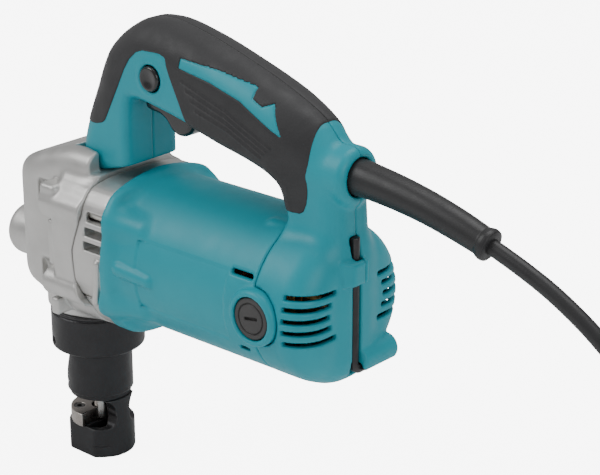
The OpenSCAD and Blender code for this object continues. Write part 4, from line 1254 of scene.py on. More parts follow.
@dataclass
class CordSet(Assembly):
    """Mains cord in its coil, the bend guard at the tool and the plug.

    Args:
        diameter: Thickness of the cord.
        centre: Middle of the coil in X and Y.
        outer: Radius of the coil's outer turns.
        guard_root: Radius of the guard at the tool.
        guard_tip: Radius of the guard at its free end.
        plug_at: Where the cord meets the plug.
    """

    diameter: float = 7.0
    centre: tuple[float, float] = (440.0, -9.0)
    outer: float = 44.5
    guard_root: float = 8.3
    guard_tip: float = 6.0
    plug_at: Point = (446.0, 23.0, 36.2)

    def _lead(self) -> list[Point]:
        """Return the cord's way from the guard down to the coil.

        Returns:
            Points in millimetres.
        """
        return [
            (234, 0, 167.8), (250, 0, 162), (265, 0, 155.5), (280, 0, 147), (292, 0, 138.5), (304, 1, 128),
            (316, 2.5, 114.5), (327, 5, 99), (337, 8, 82), (347, 12, 64), (357, 16.5, 47), (368, 21, 32),
            (380, 26, 20), (393, 30, 11.5), (407, 33, 6.3), (421, 35, 3.9), (432, 35.5, 3.5),
            (440, 35.5, 3.5),
        ]

    def _tail(self) -> list[Point]:
        """Return the cord's way from the coil to the plug.

        Returns:
            Points in millimetres.
        """
        return [
            (484.5, -9, 24.5), (481.8, -24.2, 26.2), (474.1, -37.6, 28.8), (462.1, -47.4, 31.5),
            (447.6, -51.9, 32.2), (432.6, -51.1, 32.6), (419, -45.4, 33), (408.6, -35.4, 33.4),
            (402.4, -22.7, 33.8), (401.2, -9, 34.2), (404.9, 3.8, 34.7), (412.6, 14, 35.3),
            (423, 20.4, 35.8),
            (432.1, 22.6, 36.1), (440, 23, 36.2), (447, 23, 36.2),
        ]

    def _coil(self) -> Array:
        """Return the coil's turns, wound clockwise in two columns from the floor up.

        Returns:
            Rows of X, Y and Z.
        """
        d = self.diameter
        columns = [self.outer, self.outer - d]
        order = [(0, 0), (1, 0), (1, 1), (0, 1), (0, 2), (1, 2), (1, 3), (0, 3)]
        levels = [(columns[c], d * (layer + 0.5)) for c, layer in order]
        rows = []
        step, change = 5.0, 40.0
        for turn, (radius, height) in enumerate(levels):
            sweep = 360.0 if turn < len(levels) - 1 else 90.0
            after = levels[turn + 1] if turn + 1 < len(levels) else (radius, height)
            for k in range(int(sweep / step)):
                along = k * step
                share = min(1.0, max(0.0, (along - (360.0 - change)) / change))
                share = share * share * (3 - 2 * share)
                r = radius + (after[0] - radius) * share
                z = height + (after[1] - height) * share
                angle = math.radians(90.0 - along)
                rows.append((self.centre[0] + r * math.cos(angle), self.centre[1] + r * math.sin(angle), z))
        return np.array(rows)

    def build(self) -> None:
        line = np.concatenate(
            [curve_points(self._lead(), 6)[:-1], self._coil(), curve_points(self._tail(), 6)]
        )
        data = bpy.data.curves.new("power_cord", "CURVE")
        data.dimensions = "3D"
        data.bevel_depth = self.diameter / 2 * MM
        data.bevel_resolution = 5
        data.use_fill_caps = True
        spline = data.splines.new("POLY")
        spline.points.add(len(line) - 1)
        for point, place in zip(spline.points, line):
            point.co = (*(place * MM), 1)
        spline.use_smooth = True
        cord = bpy.data.objects.new("power_cord", data)
        bpy.context.scene.collection.objects.link(cord)
        self.fit(cord, CORD_RUBBER, "casing", ["cord", "cord_coil"])
        self._guard()
        plug = self._plug()

    def _guard(self) -> None:
        """Build the tapered guard with its rolled end."""
        path = [
            (156.5, 0, 181), (168, 0, 181), (179, 0, 180), (191, 0, 178.4), (204, 0, 176), (218, 0, 172.5),
            (228, 0, 169.5), (235.4, 0, 167.2),
        ]
        line = curve_points(path, 7)
        share = np.linspace(0, 1, len(line))
        radii = self.guard_root + (self.guard_tip - self.guard_root) * share
        far = np.linalg.norm(line - line[-1], axis=1)
        roll = 2.3
        rolled = np.sqrt(np.maximum(roll**2 - (far - roll) ** 2, 0.2)) * 0.55 + self.guard_tip - 0.1
        radii = np.where(far < 2 * roll, rolled, radii)
        radii[-1] = self.guard_tip * 0.82
        fine = curve_points([tuple(p) for p in line], 4)
        at = np.linspace(0, len(line) - 1, len(fine))
        guard = Sweep(fine, np.interp(at, np.arange(len(line)), radii), 48).build("cord_bend_guard")
        self.fit(guard, CORD_RUBBER, "casing", ["cord_guard"], "guard_rubber")

    def _plug(self) -> bpy.types.Object:
        """Return the round plug body; its two pins are made in one piece with it.

        Returns:
            The plug.
        """
        x, y, z = self.plug_at
        body = pill((x + 6, y, z), (x + 29, y, z), 6.2, 7.7).keep(plane((x + 36, y, z), (1, 0, 0)), 1.2)
        body = body.join(bar(Axis.X, 7.9, x + 29.5, x + 36, (y, z), 1.0), 1.5)
        for k in range(4):
            groove = bar(Axis.X, 9.0, x + 9.6 + 4 * k, x + 11 + 4 * k, (y, z), 0.3)
            body = body.cut(groove.cut(bar(Axis.X, 5.6 + 0.25 * k, x, x + 40, (y, z), 0.2), 0.2), 0.4)
        for side in (-4.5, 4.5):
            body = body.join(bar(Axis.X, 2.0, x + 34, x + 54, (y + side, z), 0.9), 0.2)
        body = body.keep(block((x, y - 8, z - 8), (x + 54, y + 8, z + 8), 0.1), 0.2)
        mesher = Mesher((x, y - 8, z - 8), (x + 54, y + 8, z + 8), 0.5)
        return self.fit(mesher.build("plug_body", body), GLOSS_BLACK, "casing", ["plug"], "plug_plastic")


# ---------------------------------------------------------------- motor and gear casings


def column(points: Sequence[tuple[float, float]], z: Array) -> Array:
    """Return a value read off a table against the height, which is the table's first column."""
    return np.interp(z, [p[0] for p in points], [p[1] for p in points])


def behind(points: Sequence[tuple[float, float]]) -> Shape:
    """Return all that lies behind a joint line, given as height and X pairs."""
    return Shape(lambda x, y, z: (column(points, z) - x) * 0.95)


HEAD_SEAM = ((79, 30.5), (94, 30.5), (107, 24.5), (122, 24.0), (141, 30.5), (155, 31.0))
MOTOR_SEAM = ((78, 38.7), (95, 41.0), (112, 44.5), (135, 46.5), (155, 45.0))
FLANGE = (
    (-36.5, 142.7), (-27.5, 155.5), (27.5, 155.5), (36.5, 142.7), (36.5, 102.7), (22, 80), (-22, 80),
    (-36.5, 102.7),
)


def below_post(depth: float) -> Shape:
    """Return the saddle that the handle's front post sits in, cut to a given depth below the post.

    Args:
        depth: Room left below the post.

    Returns:
        The solid.
    """
    low, high = 156.3 - depth, 162 - depth
    return plate([(8, low), (24, low), (44, high), (62, high), (62, 190), (8, 190)], -17.3, 17.3, 0.6)


@dataclass
class MotorCasing(Assembly):
    """Teal motor casing: a round barrel that widens to a bolted flange, with brush bosses at its rear.

    Args:
        radius: Radius of the barrel.
        back: Rear end of the barrel.
        boss_r: Radius of a brush boss.
        step: Cell of the mesh.
    """

    radius: float = 36.3
    back: float = 137.2
    boss_r: float = 12.9
    step: float = 0.85

    def _outside(self) -> Shape:
        """Return the casing's outer form before its slots and bores.

        Returns:
            The solid.
        """
        barrel = bar(Axis.X, self.radius, 30.0, self.back, (0.0, MOTOR_Z), 0.9)
        flange = section(softened(FLANGE, 3), 32.0, 49.5, 2.0)
        body = barrel.join(flange, 9.0)
        for z0, z1, y0, y1, r in ((140.2, 138.7, 29.5, 27.0, 9.5), (100.7, 101.7, 29.5, 27.0, 9.0)):
            ear = pill((40, -y0, z0), (64, -y1, z1), r - 1.0, 6.0).keep(plane((72, 0, 0), (1, 0, 0)), 2.0)
            body = body.join(ear.both_sides(), 4.0)
        chin = pill((38, -8, 89), (38, 8, 89), 11.5).keep(plane((49, 0, 0), (1, 0, 0.6)), 5.0)
        body = body.join(chin, 8.0)
        boss = bar(Axis.Y, self.boss_r, -38.7, -20.0, (BRUSH_X, MOTOR_Z), 2.5)
        body = body.join(boss.both_sides(), 1.6)
        clip = pill((128, -10.5, 152.4), (136, -9.5, 152.2), 3.6, 3.0)
        return body.join(clip, 1.5)

    def build(self) -> None:
        """Build the casing."""
        body = self._outside()
        panel = block((66, -60, 104.5), (121, -26, 137), 0.3)
        shallow = Shape(lambda x, y, z: np.maximum(panel.rule(x, y, z), self._skin(x, y, z)))
        body = body.cut(shallow.both_sides(), 0.35)
        rib = pill((56, -34.8, 121.0), (74, -34.2, 119.5), 4.2, 3.6)
        body = body.join(rib.both_sides(), 0.8)
        body = body.cut(bar(Axis.Y, 9.9, -60, -30, (BRUSH_X, MOTOR_Z), 0.3).both_sides(), 0.7)
        body = body.cut(block((122.5, -60, 135.5), (135.4, -22, 138.1), 1.1).both_sides(), 0.4)
        body = body.cut(block((126, -60, 101), (132, -22, 103.2), 0.9).both_sides(), 0.3)
        body = body.cut(bar(Axis.X, 33.7, 20.0, 160.0, (0.0, MOTOR_Z), 0.4), 0.5)
        body = body.keep(behind(MOTOR_SEAM), 0.7)
        body = body.keep(plane((self.back, 0, 0), (1, 0, 0)).join(self._boss_keep(), 0.3), 0.4)
        body = body.cut(below_post(0.15), 0.5)
        for side in (-1, 1):
            for z in FLANGE_SCREW_Z:
                body = body.cut(bar(Axis.X, 2.6, 30, 56, (side * FLANGE_SCREW_Y, z), 0.2), 0.2)
        mesher = Mesher((36, -39.5, 74), (153, 39.5, 161), self.step)
        self.fit(mesher.build("motor_casing", body), TEAL, "casing", ["motor_housing"])

    def _boss_keep(self) -> Shape:
        """Return the room that the brush bosses may fill behind the barrel's end.

        Returns:
            The room, as a solid.
        """
        return bar(Axis.Y, self.boss_r, -45, 45, (BRUSH_X, MOTOR_Z), 2.0).cut(
            bar(Axis.X, 31.0, 130, 170, (0.0, MOTOR_Z), 0.4), 0.3
        )

    def _skin(self, x: Array, y: Array, z: Array) -> Array:
        """Return a distance that is negative only within the barrel's outermost half millimetre."""
        return self.radius - 0.45 - np.hypot(y, z - MOTOR_Z) + 0 * x


@dataclass
class BearingCasing(Assembly):
    """Cast ring between the gear head and the motor, with three air slots on each side.

    Args:
        step: Cell of the mesh.
    """

    step: float = 0.8

    def build(self) -> None:
        """Build the casing."""
        outline = [(y * 0.984, MOTOR_Z + (z - MOTOR_Z) * 0.984) for y, z in softened(FLANGE, 3)]
        body = section(outline, 14.0, 60.0, 1.0)
        chin = pill((30, -8, 89.5), (30, 8, 89.5), 11.0)
        body = body.join(chin.join(pill((44, -8, 89.5), (44, 8, 89.5), 10.8), 4.0), 7.0)
        body = body.keep(behind(HEAD_SEAM), 0.5)
        joint = tuple((z, x - 0.3) for z, x in MOTOR_SEAM)
        front_of = Shape(lambda x, y, z: (x - column(joint, z)) * 0.95)
        body = body.keep(front_of, 0.5)
        for low, high in ((124.0, 128.4), (131.0, 135.4), (138.0, 142.6)):
            slot = block((31.0 + (high - 124) * 0.12, -60, low), (60, -28.5, high), 1.0)
            body = body.cut(slot.both_sides(), 0.5)
        ledge = pill((38.6, -35.0, 100), (41.4, -36.0, 119.5), 2.0)
        body = body.join(ledge.both_sides(), 0.8)
        body = body.keep(front_of, 0.4)
        body = body.cut(bar(Axis.X, 24.0, 0.0, 70.0, (0.0, MOTOR_Z), 0.3), 0.4)
        body = body.cut(below_post(0.15), 0.5)
        for side in (-1, 1):
            for z in FLANGE_SCREW_Z:
                body = body.cut(bar(Axis.X, 2.6, 0, 70, (side * FLANGE_SCREW_Y, z), 0.2), 0.3)
        mesher = Mesher((22, -38.5, 76), (48, 38.5, 160), self.step)
        self.fit(mesher.build("bearing_casing", body), CAST, "casing", ["bearing_box"])


@dataclass
class GearHead(Assembly):
    """Cast gear head: tall smooth dome, low nose in front, spigot for the die holder.

    Args:
        half: Half width of the dome.
        step: Cell of the mesh.
    """

    half: float = 27.6
    step: float = 0.8

    def _outside(self) -> Shape:
        """Return the casting's outer form.

        Returns:
            The solid.
        """
        profile = [
            (-37.5, 99), (-38, 136), (-33, 147.5), (-19, 157), (3.8, 164.5), (13, 166.3), (26, 166.3),
            (32, 166.3), (32, 86), (-20, 88),
        ]
        dome = plate(softened(profile, 3), -self.half, self.half, 11.0)
        front = bar(Axis.Z, self.half, 60.0, 190.0, (-8.8, 0.0), 0.4)
        dome = dome.keep(front.join(block((-9.6, -self.half, 60), (60, self.half, 190), 0.1), 0.1), 5.0)
        post_room = bar(Axis.Z, 18.3, 155.9, 175.0, (26.2, 0.0), 0.4).join(
            block((26, -30, 155.9), (40, 30, 175), 0.4), 0.3
        )
        dome = dome.cut(post_room, 1.2)
        flange = section(softened(FLANGE, 3), 9.0, 34.0, 3.5)
        body = dome.join(flange, 4.5)
        neck = bar(Axis.Z, 24.0, 79.3, 112.0, (0.0, 0.0), 2.0)
        body = body.join(neck, 5.0)
        nose = bar(Axis.X, 13.4, -52.6, -12.0, (0.0, 105.6), 6.0)
        body = body.join(nose, 2.2)
        chin = pill((22, -8, 90.0), (22, 8, 90.0), 10.6)
        body = body.join(chin.join(pill((32, -8, 90), (32, 8, 90), 10.8), 4.0), 6.0)
        for low, high in ((109.5, 132.0), (84.0, 92.5)):
            rib = block((4.5, -33.6, low), (9.5, -20.0, high), 1.2)
            body = body.join(rib.both_sides(), 1.0)
        step = block((2.0, -35.8, 133.4), (13.0, -20.0, 150.4), 2.4)
        return body.join(step.both_sides(), 1.2)

    def _screw_places(self, body: Shape) -> Shape:
        """Return the casting with its four screw bosses and their sunk faces.

        Args:
            body: The casting without them.

        Returns:
            The solid.
        """
        for z in (140.7, 100.7):
            boss = bar(Axis.X, 7.0, 2.5, 30.0, (-30.2, z), 1.0)
            body = body.join(boss.both_sides(), 1.2)
            scoop = bar(Axis.X, 8.6, -9.0, 2.4, (-31.0, z), 1.2)
            body = body.cut(scoop.both_sides(), 0.9)
            body = body.cut(bar(Axis.X, 4.7, -5.0, 6.2, (-30.2, z), 0.4).both_sides(), 0.4)
            body = body.cut(bar(Axis.X, 2.7, -5.0, 50.0, (-30.2, z), 0.2).both_sides(), 0.3)
        return body

    def build(self) -> None:
        """Build the casting."""
        body = self._screw_places(self._outside())
        inner = bar(Axis.X, 22.0, -9.6, 60.0, (0.0, MOTOR_Z), 4.0)
        body = body.join(bar(Axis.Z, 19.8, 67.5, 84.0, (0.0, 0.0), 0.7), 0.6)
        body = body.cut(inner, 1.0)
        body = body.cut(bar(Axis.Z, 13.4, 60.0, 118.0, (0.0, 0.0), 0.3), 0.5)
        seam = tuple((z, x - 0.25) for z, x in HEAD_SEAM)
        body = body.keep(Shape(lambda x, y, z: (x - column(seam, z)) * 0.9), 0.5)
        body = body.cut(below_post(0.15), 0.5)
        body = body.keep(plane((0, 0, 67.5), (0, 0, -1)), 0.3)
        mesher = Mesher((-53.5, -38, 67), (33, 38, 167), self.step)
        self.fit(mesher.build("gear_head_casting", body), CAST, "casing", ["gear_housing"])


# ---------------------------------------------------------------- handle


SIDES = (("left", -1), ("right", 1))
OUTER_EDGE = (
    (8, 150), (8, 156.3), (9.5, 170), (14.5, 188), (21.5, 206), (26.5, 215.5), (35, 223.4), (47, 230.6),
    (62, 231.4), (86.8, 226), (122, 214.8), (148, 203.6), (157.6, 193), (162.6, 181), (164.2, 170),
    (166, 140),
    (166.3, 120), (166.3, 88), (133, 88), (133, 157), (133, 160),
)
FINGER_HOLE = (
    (43, 140), (43, 193.5), (49, 195.5), (77, 190.5), (98, 185), (116, 181.5), (128, 178.2), (134.5, 174),
    (137.3, 166), (137.5, 140),
)
GRIP_EDGE = (
    (10, 179), (22, 178.5), (29, 180.5), (32.3, 186.6), (48.8, 218.7), (69, 219.6), (70.7, 212.6),
    (81.1, 191.9), (84, 183), (100, 178), (128, 168), (137, 163.5), (150, 163.5), (150, 196), (149, 207),
    (120, 218), (88, 228.5), (62, 235), (44, 234), (30, 224), (20, 211), (8, 186),
)
STRIPE = (
    (78.1, 219.4), (77.9, 215.1), (96.0, 212.0), (113.6, 207.0), (136.9, 195.3), (129.6, 208.2),
    (125.1, 206.4), (119.4, 208.8), (119.2, 213.2), (98.0, 217.4),
)
RIDGE_ENDS = (
    ((79.3, 209.5), (131.5, 189.7)),
    ((82.2, 205.5), (129.6, 187.9)),
    ((85.0, 201.5), (127.8, 186.2)),
    ((87.8, 197.5), (125.9, 184.4)),
)


@dataclass
class Handle(Assembly):
    """Closed handle of two moulded halves with soft grips over them.

    Args:
        half_width: Half the handle's width.
        cover_r: Radius of the rear cover.
        step: Cell of the mesh.
        skin: How far the grips stand proud of the shells.
    """

    half_width: float = 17.0
    cover_r: float = 36.3
    step: float = 0.85
    skin: float = 0.35

    def _frame(self) -> Shape:
        """Return the handle's full outer form, both halves in one.

        Returns:
            The solid.
        """
        square = plate(softened(OUTER_EDGE, 2), -self.half_width, self.half_width, 10.5)
        round_bar = plate(softened(OUTER_EDGE, 2), -self.half_width, self.half_width, 14.5)

        def rule(x: Array, y: Array, z: Array) -> Array:
            """Distance to the handle, whose rear post is narrower and whose posts are squarer.

            Args:
                x: First coordinate.
                y: Second coordinate.
                z: Third coordinate.

            Returns:
                The distance, negative inside.
            """
            narrow = np.clip((x - 128.0) / 26.0, 0, 1)
            side = y * (1 + 0.24 * narrow * narrow * (3 - 2 * narrow))
            share = np.clip((z - 168.0) / 30.0, 0, 1)
            share = share * share * (3 - 2 * share)
            return square.rule(x, side, z) * (1 - share) + round_bar.rule(x, side, z) * share

        body = Shape(rule)
        body = body.cut(plate(softened(FINGER_HOLE, 2), -30, 30, 0.1), 5.0)
        foot = Shape(lambda x, y, z: (156.3 + 0.3 * np.maximum(0, x - 24) - z + 0 * y) * 0.95)
        front = plane((90, 0, 0), (1, 0, 0))
        rear = plane((90, 0, 0), (-1, 0, 0))
        body = body.keep(foot.join(rear, 0.1), 0.9)
        cover = bar(Axis.X, self.cover_r, 120.0, 166.2, (0.0, MOTOR_Z), 15.0)
        flat_front = bar(Axis.X, self.cover_r, 137.6, 150.0, (0.0, MOTOR_Z), 0.9)
        cover = cover.keep(plane((120, 0, 0), (-1, 0, 0)), 0.1).join(flat_front, 0.3)
        rear_body = body.keep(rear, 0.2).join(cover, 6.0)
        behind_motor = plane((137.6, 0, 0), (-1, 0, 0))
        over_motor = plane((0, 0, 157.3), (0, 0, -1))
        rear_body = rear_body.keep(behind_motor.join(over_motor, 0.2), 0.5)
        return body.keep(front, 0.2).join(rear_body, 0.1)

    def _details(self, body: Shape) -> Shape:
        """Return the handle with its slots, bosses and openings.

        Args:
            body: The plain outer form.

        Returns:
            The solid.
        """
        ends = (-13.5, -16.5, -17.5, -16.5, -13.5)
        for z, end in zip((133.2, 128.2, 123.0, 117.8, 112.5), ends):
            slot = block((153.5, -50, z - 1.2), (175, end, z + 1.2), 0.7)
            body = body.cut(slot.both_sides(), 0.4)
        groove = block((163.0, -4.7, 92.4), (172, 1.2, 154.6), 0.9)
        body = body.cut(groove, 0.5)
        tab = block((157.0, -11.5, 134.0), (170.9, 2.6, 146.5), 1.4)
        tab = tab.keep(plane((167.5, -11.5, 140), (1.0, -0.75, 0.0)), 1.0)
        tab = tab.keep(plane((164.0, 0, 146.5), (0.35, 0.0, 1.0)), 0.8)
        body = body.join(tab, 0.9)
        body = body.cut(block((163.0, -3.95, 90.0), (168.35, 1.0, 154.6), 0.3), 0.2)
        lug = bar(Axis.Y, 6.3, 1.4, 24.0, (164.4, 96.0), 1.5)
        body = body.join(lug, 1.0)
        body = body.cut(bar(Axis.Y, 2.9, 0.0, 23.0, (165.8, 92.5), 0.2), 0.3)
        ring = bar(Axis.X, 13.4, 146.0, 167.4, (0.0, 180.6), 4.2)
        body = body.join(ring, 2.5)
        body = body.cut(bar(Axis.X, 8.75, 155.0, 175.0, (0.0, 181.0), 0.3), 0.7)
        rim = bar(Axis.Y, 8.9, -17.3, -10.0, BUTTON_AT, 1.0)
        body = body.join(rim, 0.8)
        return body.cut(bar(Axis.Y, 6.35, -25.0, 25.0, BUTTON_AT, 0.3), 0.5)

    def _hollow(self) -> Shape:
        """Return the room inside the handle and its rear cover.

        Returns:
            The room, as a solid.
        """
        room = self._frame().grown(-2.9)
        cover_room = bar(Axis.X, 33.5, 130.0, 162.6, (0.0, MOTOR_Z), 13.5)
        room = room.join(cover_room, 1.0)
        trigger_room = block((44, -8.6, 172), (92, 8.6, 200), 1.0)
        brush_room = bar(Axis.Y, 13.3, -45.0, 45.0, (BRUSH_X, MOTOR_Z), 0.3)
        return room.join(trigger_room, 0.5).join(brush_room, 0.4)

    def build(self) -> None:
        """Build both shells, both grips and the stripe on each side."""
        outer = self._frame()
        dressed = self._details(outer)
        hollow = self._hollow()
        self._shells(dressed.cut(hollow, 0.5))
        self._grips(outer)
        self._stripes(outer)

    def _shells(self, body: Shape) -> None:
        """Build the two moulded halves.

        Args:
            body: Both halves in one, hollow.
        """
        gap = 0.06
        for hand, side in SIDES:
            half = body.keep(plane((0, side * gap, 0), (0, -side, 0)), 0.35)
            low = (7.5, -37.5 if side < 0 else -12.0, 83.5)
            high = (171.5, 0.5 if side < 0 else 37.5, 232)
            shell = Mesher(low, high, self.step).build(f"handle_shell_{hand}", half)
            self.fit(shell, TEAL, "casing", [f"handle_{hand}"])

    def _grips(self, outer: Shape) -> None:
        """Build the soft grips, which stand a little proud of the shells.

        Args:
            outer: The handle's plain outer form.
        """
        edge = plate(softened(GRIP_EDGE, 2), -30, 30, 0.1)
        body = outer.grown(self.skin).keep(edge, 0.5).cut(outer.grown(-1.3), 0.2)
        body = body.cut(bar(Axis.Y, 9.3, -30, 30, BUTTON_AT, 0.3), 0.6)
        body = body.cut(block((44, -8.6, 172), (92, 8.6, 200), 0.4), 0.3)
        stripe = plate(STRIPE, -30, 30, 0.1)
        above = plane((0, -10, 0), (0, 1, 0)).join(plane((0, 10, 0), (0, -1, 0)), 0.1)
        body = body.cut(stripe.keep(above, 0.1), 0.3)
        proud = outer.grown(self.skin + 0.45).keep(above, 0.1)
        for start, end in RIDGE_ENDS:
            middle = ((start[0] + end[0]) / 2, (start[1] + end[1]) / 2 + 1.6)
            for first, second in ((start, middle), (middle, end)):
                body = body.join(proud.keep(self._ribbon(first, second, 0.42), 0.2), 0.3)
        for hand, side in SIDES:
            half = body.keep(plane((0, side * 0.08, 0), (0, -side, 0)), 0.3)
            low = (7.5, -18 if side < 0 else -0.4, 160)
            high = (152, 0.4 if side < 0 else 18, 232)
            grip = Mesher(low, high, 0.62).build(f"soft_grip_{hand}", half)
            self.fit(grip, RUBBER, "casing", [f"grip_rubber_{hand}"])

    @staticmethod
    def _ribbon(start: tuple[float, float], end: tuple[float, float], half: float) -> Shape:
        """Return the room within a given distance of a line in the side view, at any Y."""
        flat = pill((start[0], 0, start[1]), (end[0], 0, end[1]), half)
        return Shape(lambda x, y, z: flat.rule(x, 0 * y, z))

    def _stripes(self, outer: Shape) -> None:
        """Build the jagged stripe let into each grip.

        Args:
            outer: The handle's plain outer form.
        """
        stripe = plate(STRIPE, -30, 30, 0.1).grown(-0.25)
        body = outer.grown(self.skin - 0.1).keep(stripe, 0.25).cut(outer.grown(-1.2), 0.2)
        for hand, side in SIDES:
            half = body.keep(plane((0, side * 10.2, 0), (0, -side, 0)), 0.2)
            low = (76, -17.5 if side < 0 else 9, 193)
            high = (138, -9 if side < 0 else 17.5, 224)
            self.fit(Mesher(low, high, 0.5).build(f"grip_stripe_{hand}", half), TEAL, "casing")


@dataclass
class Controls(Assembly):
    """Trigger, lock button and brush caps."""

    def build(self) -> None:
        """Build the controls."""
        self._trigger()
        self._button()
        self._caps()

    def _trigger(self) -> None:
        """Build the trigger, hollowed for two fingers."""
        outline = [
            (46.2, 197.2), (46.2, 188.9), (50.5, 187.9), (55.5, 187.6), (59.6, 185.4), (62.6, 181.4),
            (66.6, 179.4), (71, 179.7), (74.6, 182), (77, 186.5), (82, 188.5), (82, 194.5), (72, 197),
        ]
        body = plate(softened(outline, 2), -7.9, 7.9, 2.2)
        trigger = Mesher((46, -8.2, 178), (90, 8.2, 199), 0.5).build("trigger_lever", body)
        self.fit(trigger, GLOSS_BLACK, "trigger", ["trigger"])

    def _button(self) -> None:
        """Build the lock button with its dished face."""
        body = bar(Axis.Y, 5.8, -18.6, -4.5, BUTTON_AT, 1.3)
        dish = Shape(lambda x, y, z: np.sqrt((x - 60) ** 2 + (y + 28.5) ** 2 + (z - 207) ** 2) - 10.6)
        body = body.cut(dish, 0.6)
        button = Mesher((53, -19, 200), (67, -4, 214), 0.35).build("lock_button_cap", body)
        self.fit(button, GLOSS_BLACK, "lock_button", ["lock_button"])

    def _caps(self) -> None:
        """Build the two slotted brush caps as one piece."""
        cap = bar(Axis.Y, 9.5, -38.0, -31.5, (BRUSH_X, MOTOR_Z), 0.8)
        cap = cap.cut(self._ring(6.6, 7.2, -38.4, -37.3), 0.3)
        cap = cap.cut(Shape(self._driver_slot), 0.4).both_sides()
        left = Mesher((128.5, -38.5, 110.5), (149.5, -31, 131), 0.4).build("brush_caps_pair", cap)
        right = Mesher((128.5, 31, 110.5), (149.5, 38.5, 131), 0.4).build("brush_cap_second", cap)
        bpy.ops.object.select_all(action="DESELECT")
        left.select_set(True)
        right.select_set(True)
        bpy.context.view_layer.objects.active = left
        bpy.ops.object.join()
        self.fit(left, GREY_PLASTIC, "casing", ["brush_caps"])

    @staticmethod
    def _driver_slot(x: Array, y: Array, z: Array) -> Array:
        """Return the distance to the screwdriver slot across a brush cap.

        Args:
            x: First coordinate.
            y: Second coordinate.
            z: Third coordinate.

        Returns:
            The distance, negative inside.
        """
        c, s = math.cos(math.radians(10)), math.sin(math.radians(10))
        across = np.abs(-(x - BRUSH_X) * s + (z - MOTOR_Z) * c) - 0.7
        along = np.abs((x - BRUSH_X) * c + (z - MOTOR_Z) * s) - 3.7
        return np.maximum(np.maximum(across, along), y + 36.4)

    @staticmethod
    def _ring(inner: float, outer: float, low: float, high: float) -> Shape:
        """Return a flat ring round the brush axis.

        Args:
            inner: Radius of its hole.
            outer: Outer radius.
            low: Where it starts along the axis.
            high: Where it ends.

        Returns:
            The solid.
        """
        return bar(Axis.Y, outer, low, high, (BRUSH_X, MOTOR_Z), 0.1).cut(
            bar(Axis.Y, inner, low - 1, high + 1, (BRUSH_X, MOTOR_Z), 0.1), 0.1
        )


# ---------------------------------------------------------------- punch gear


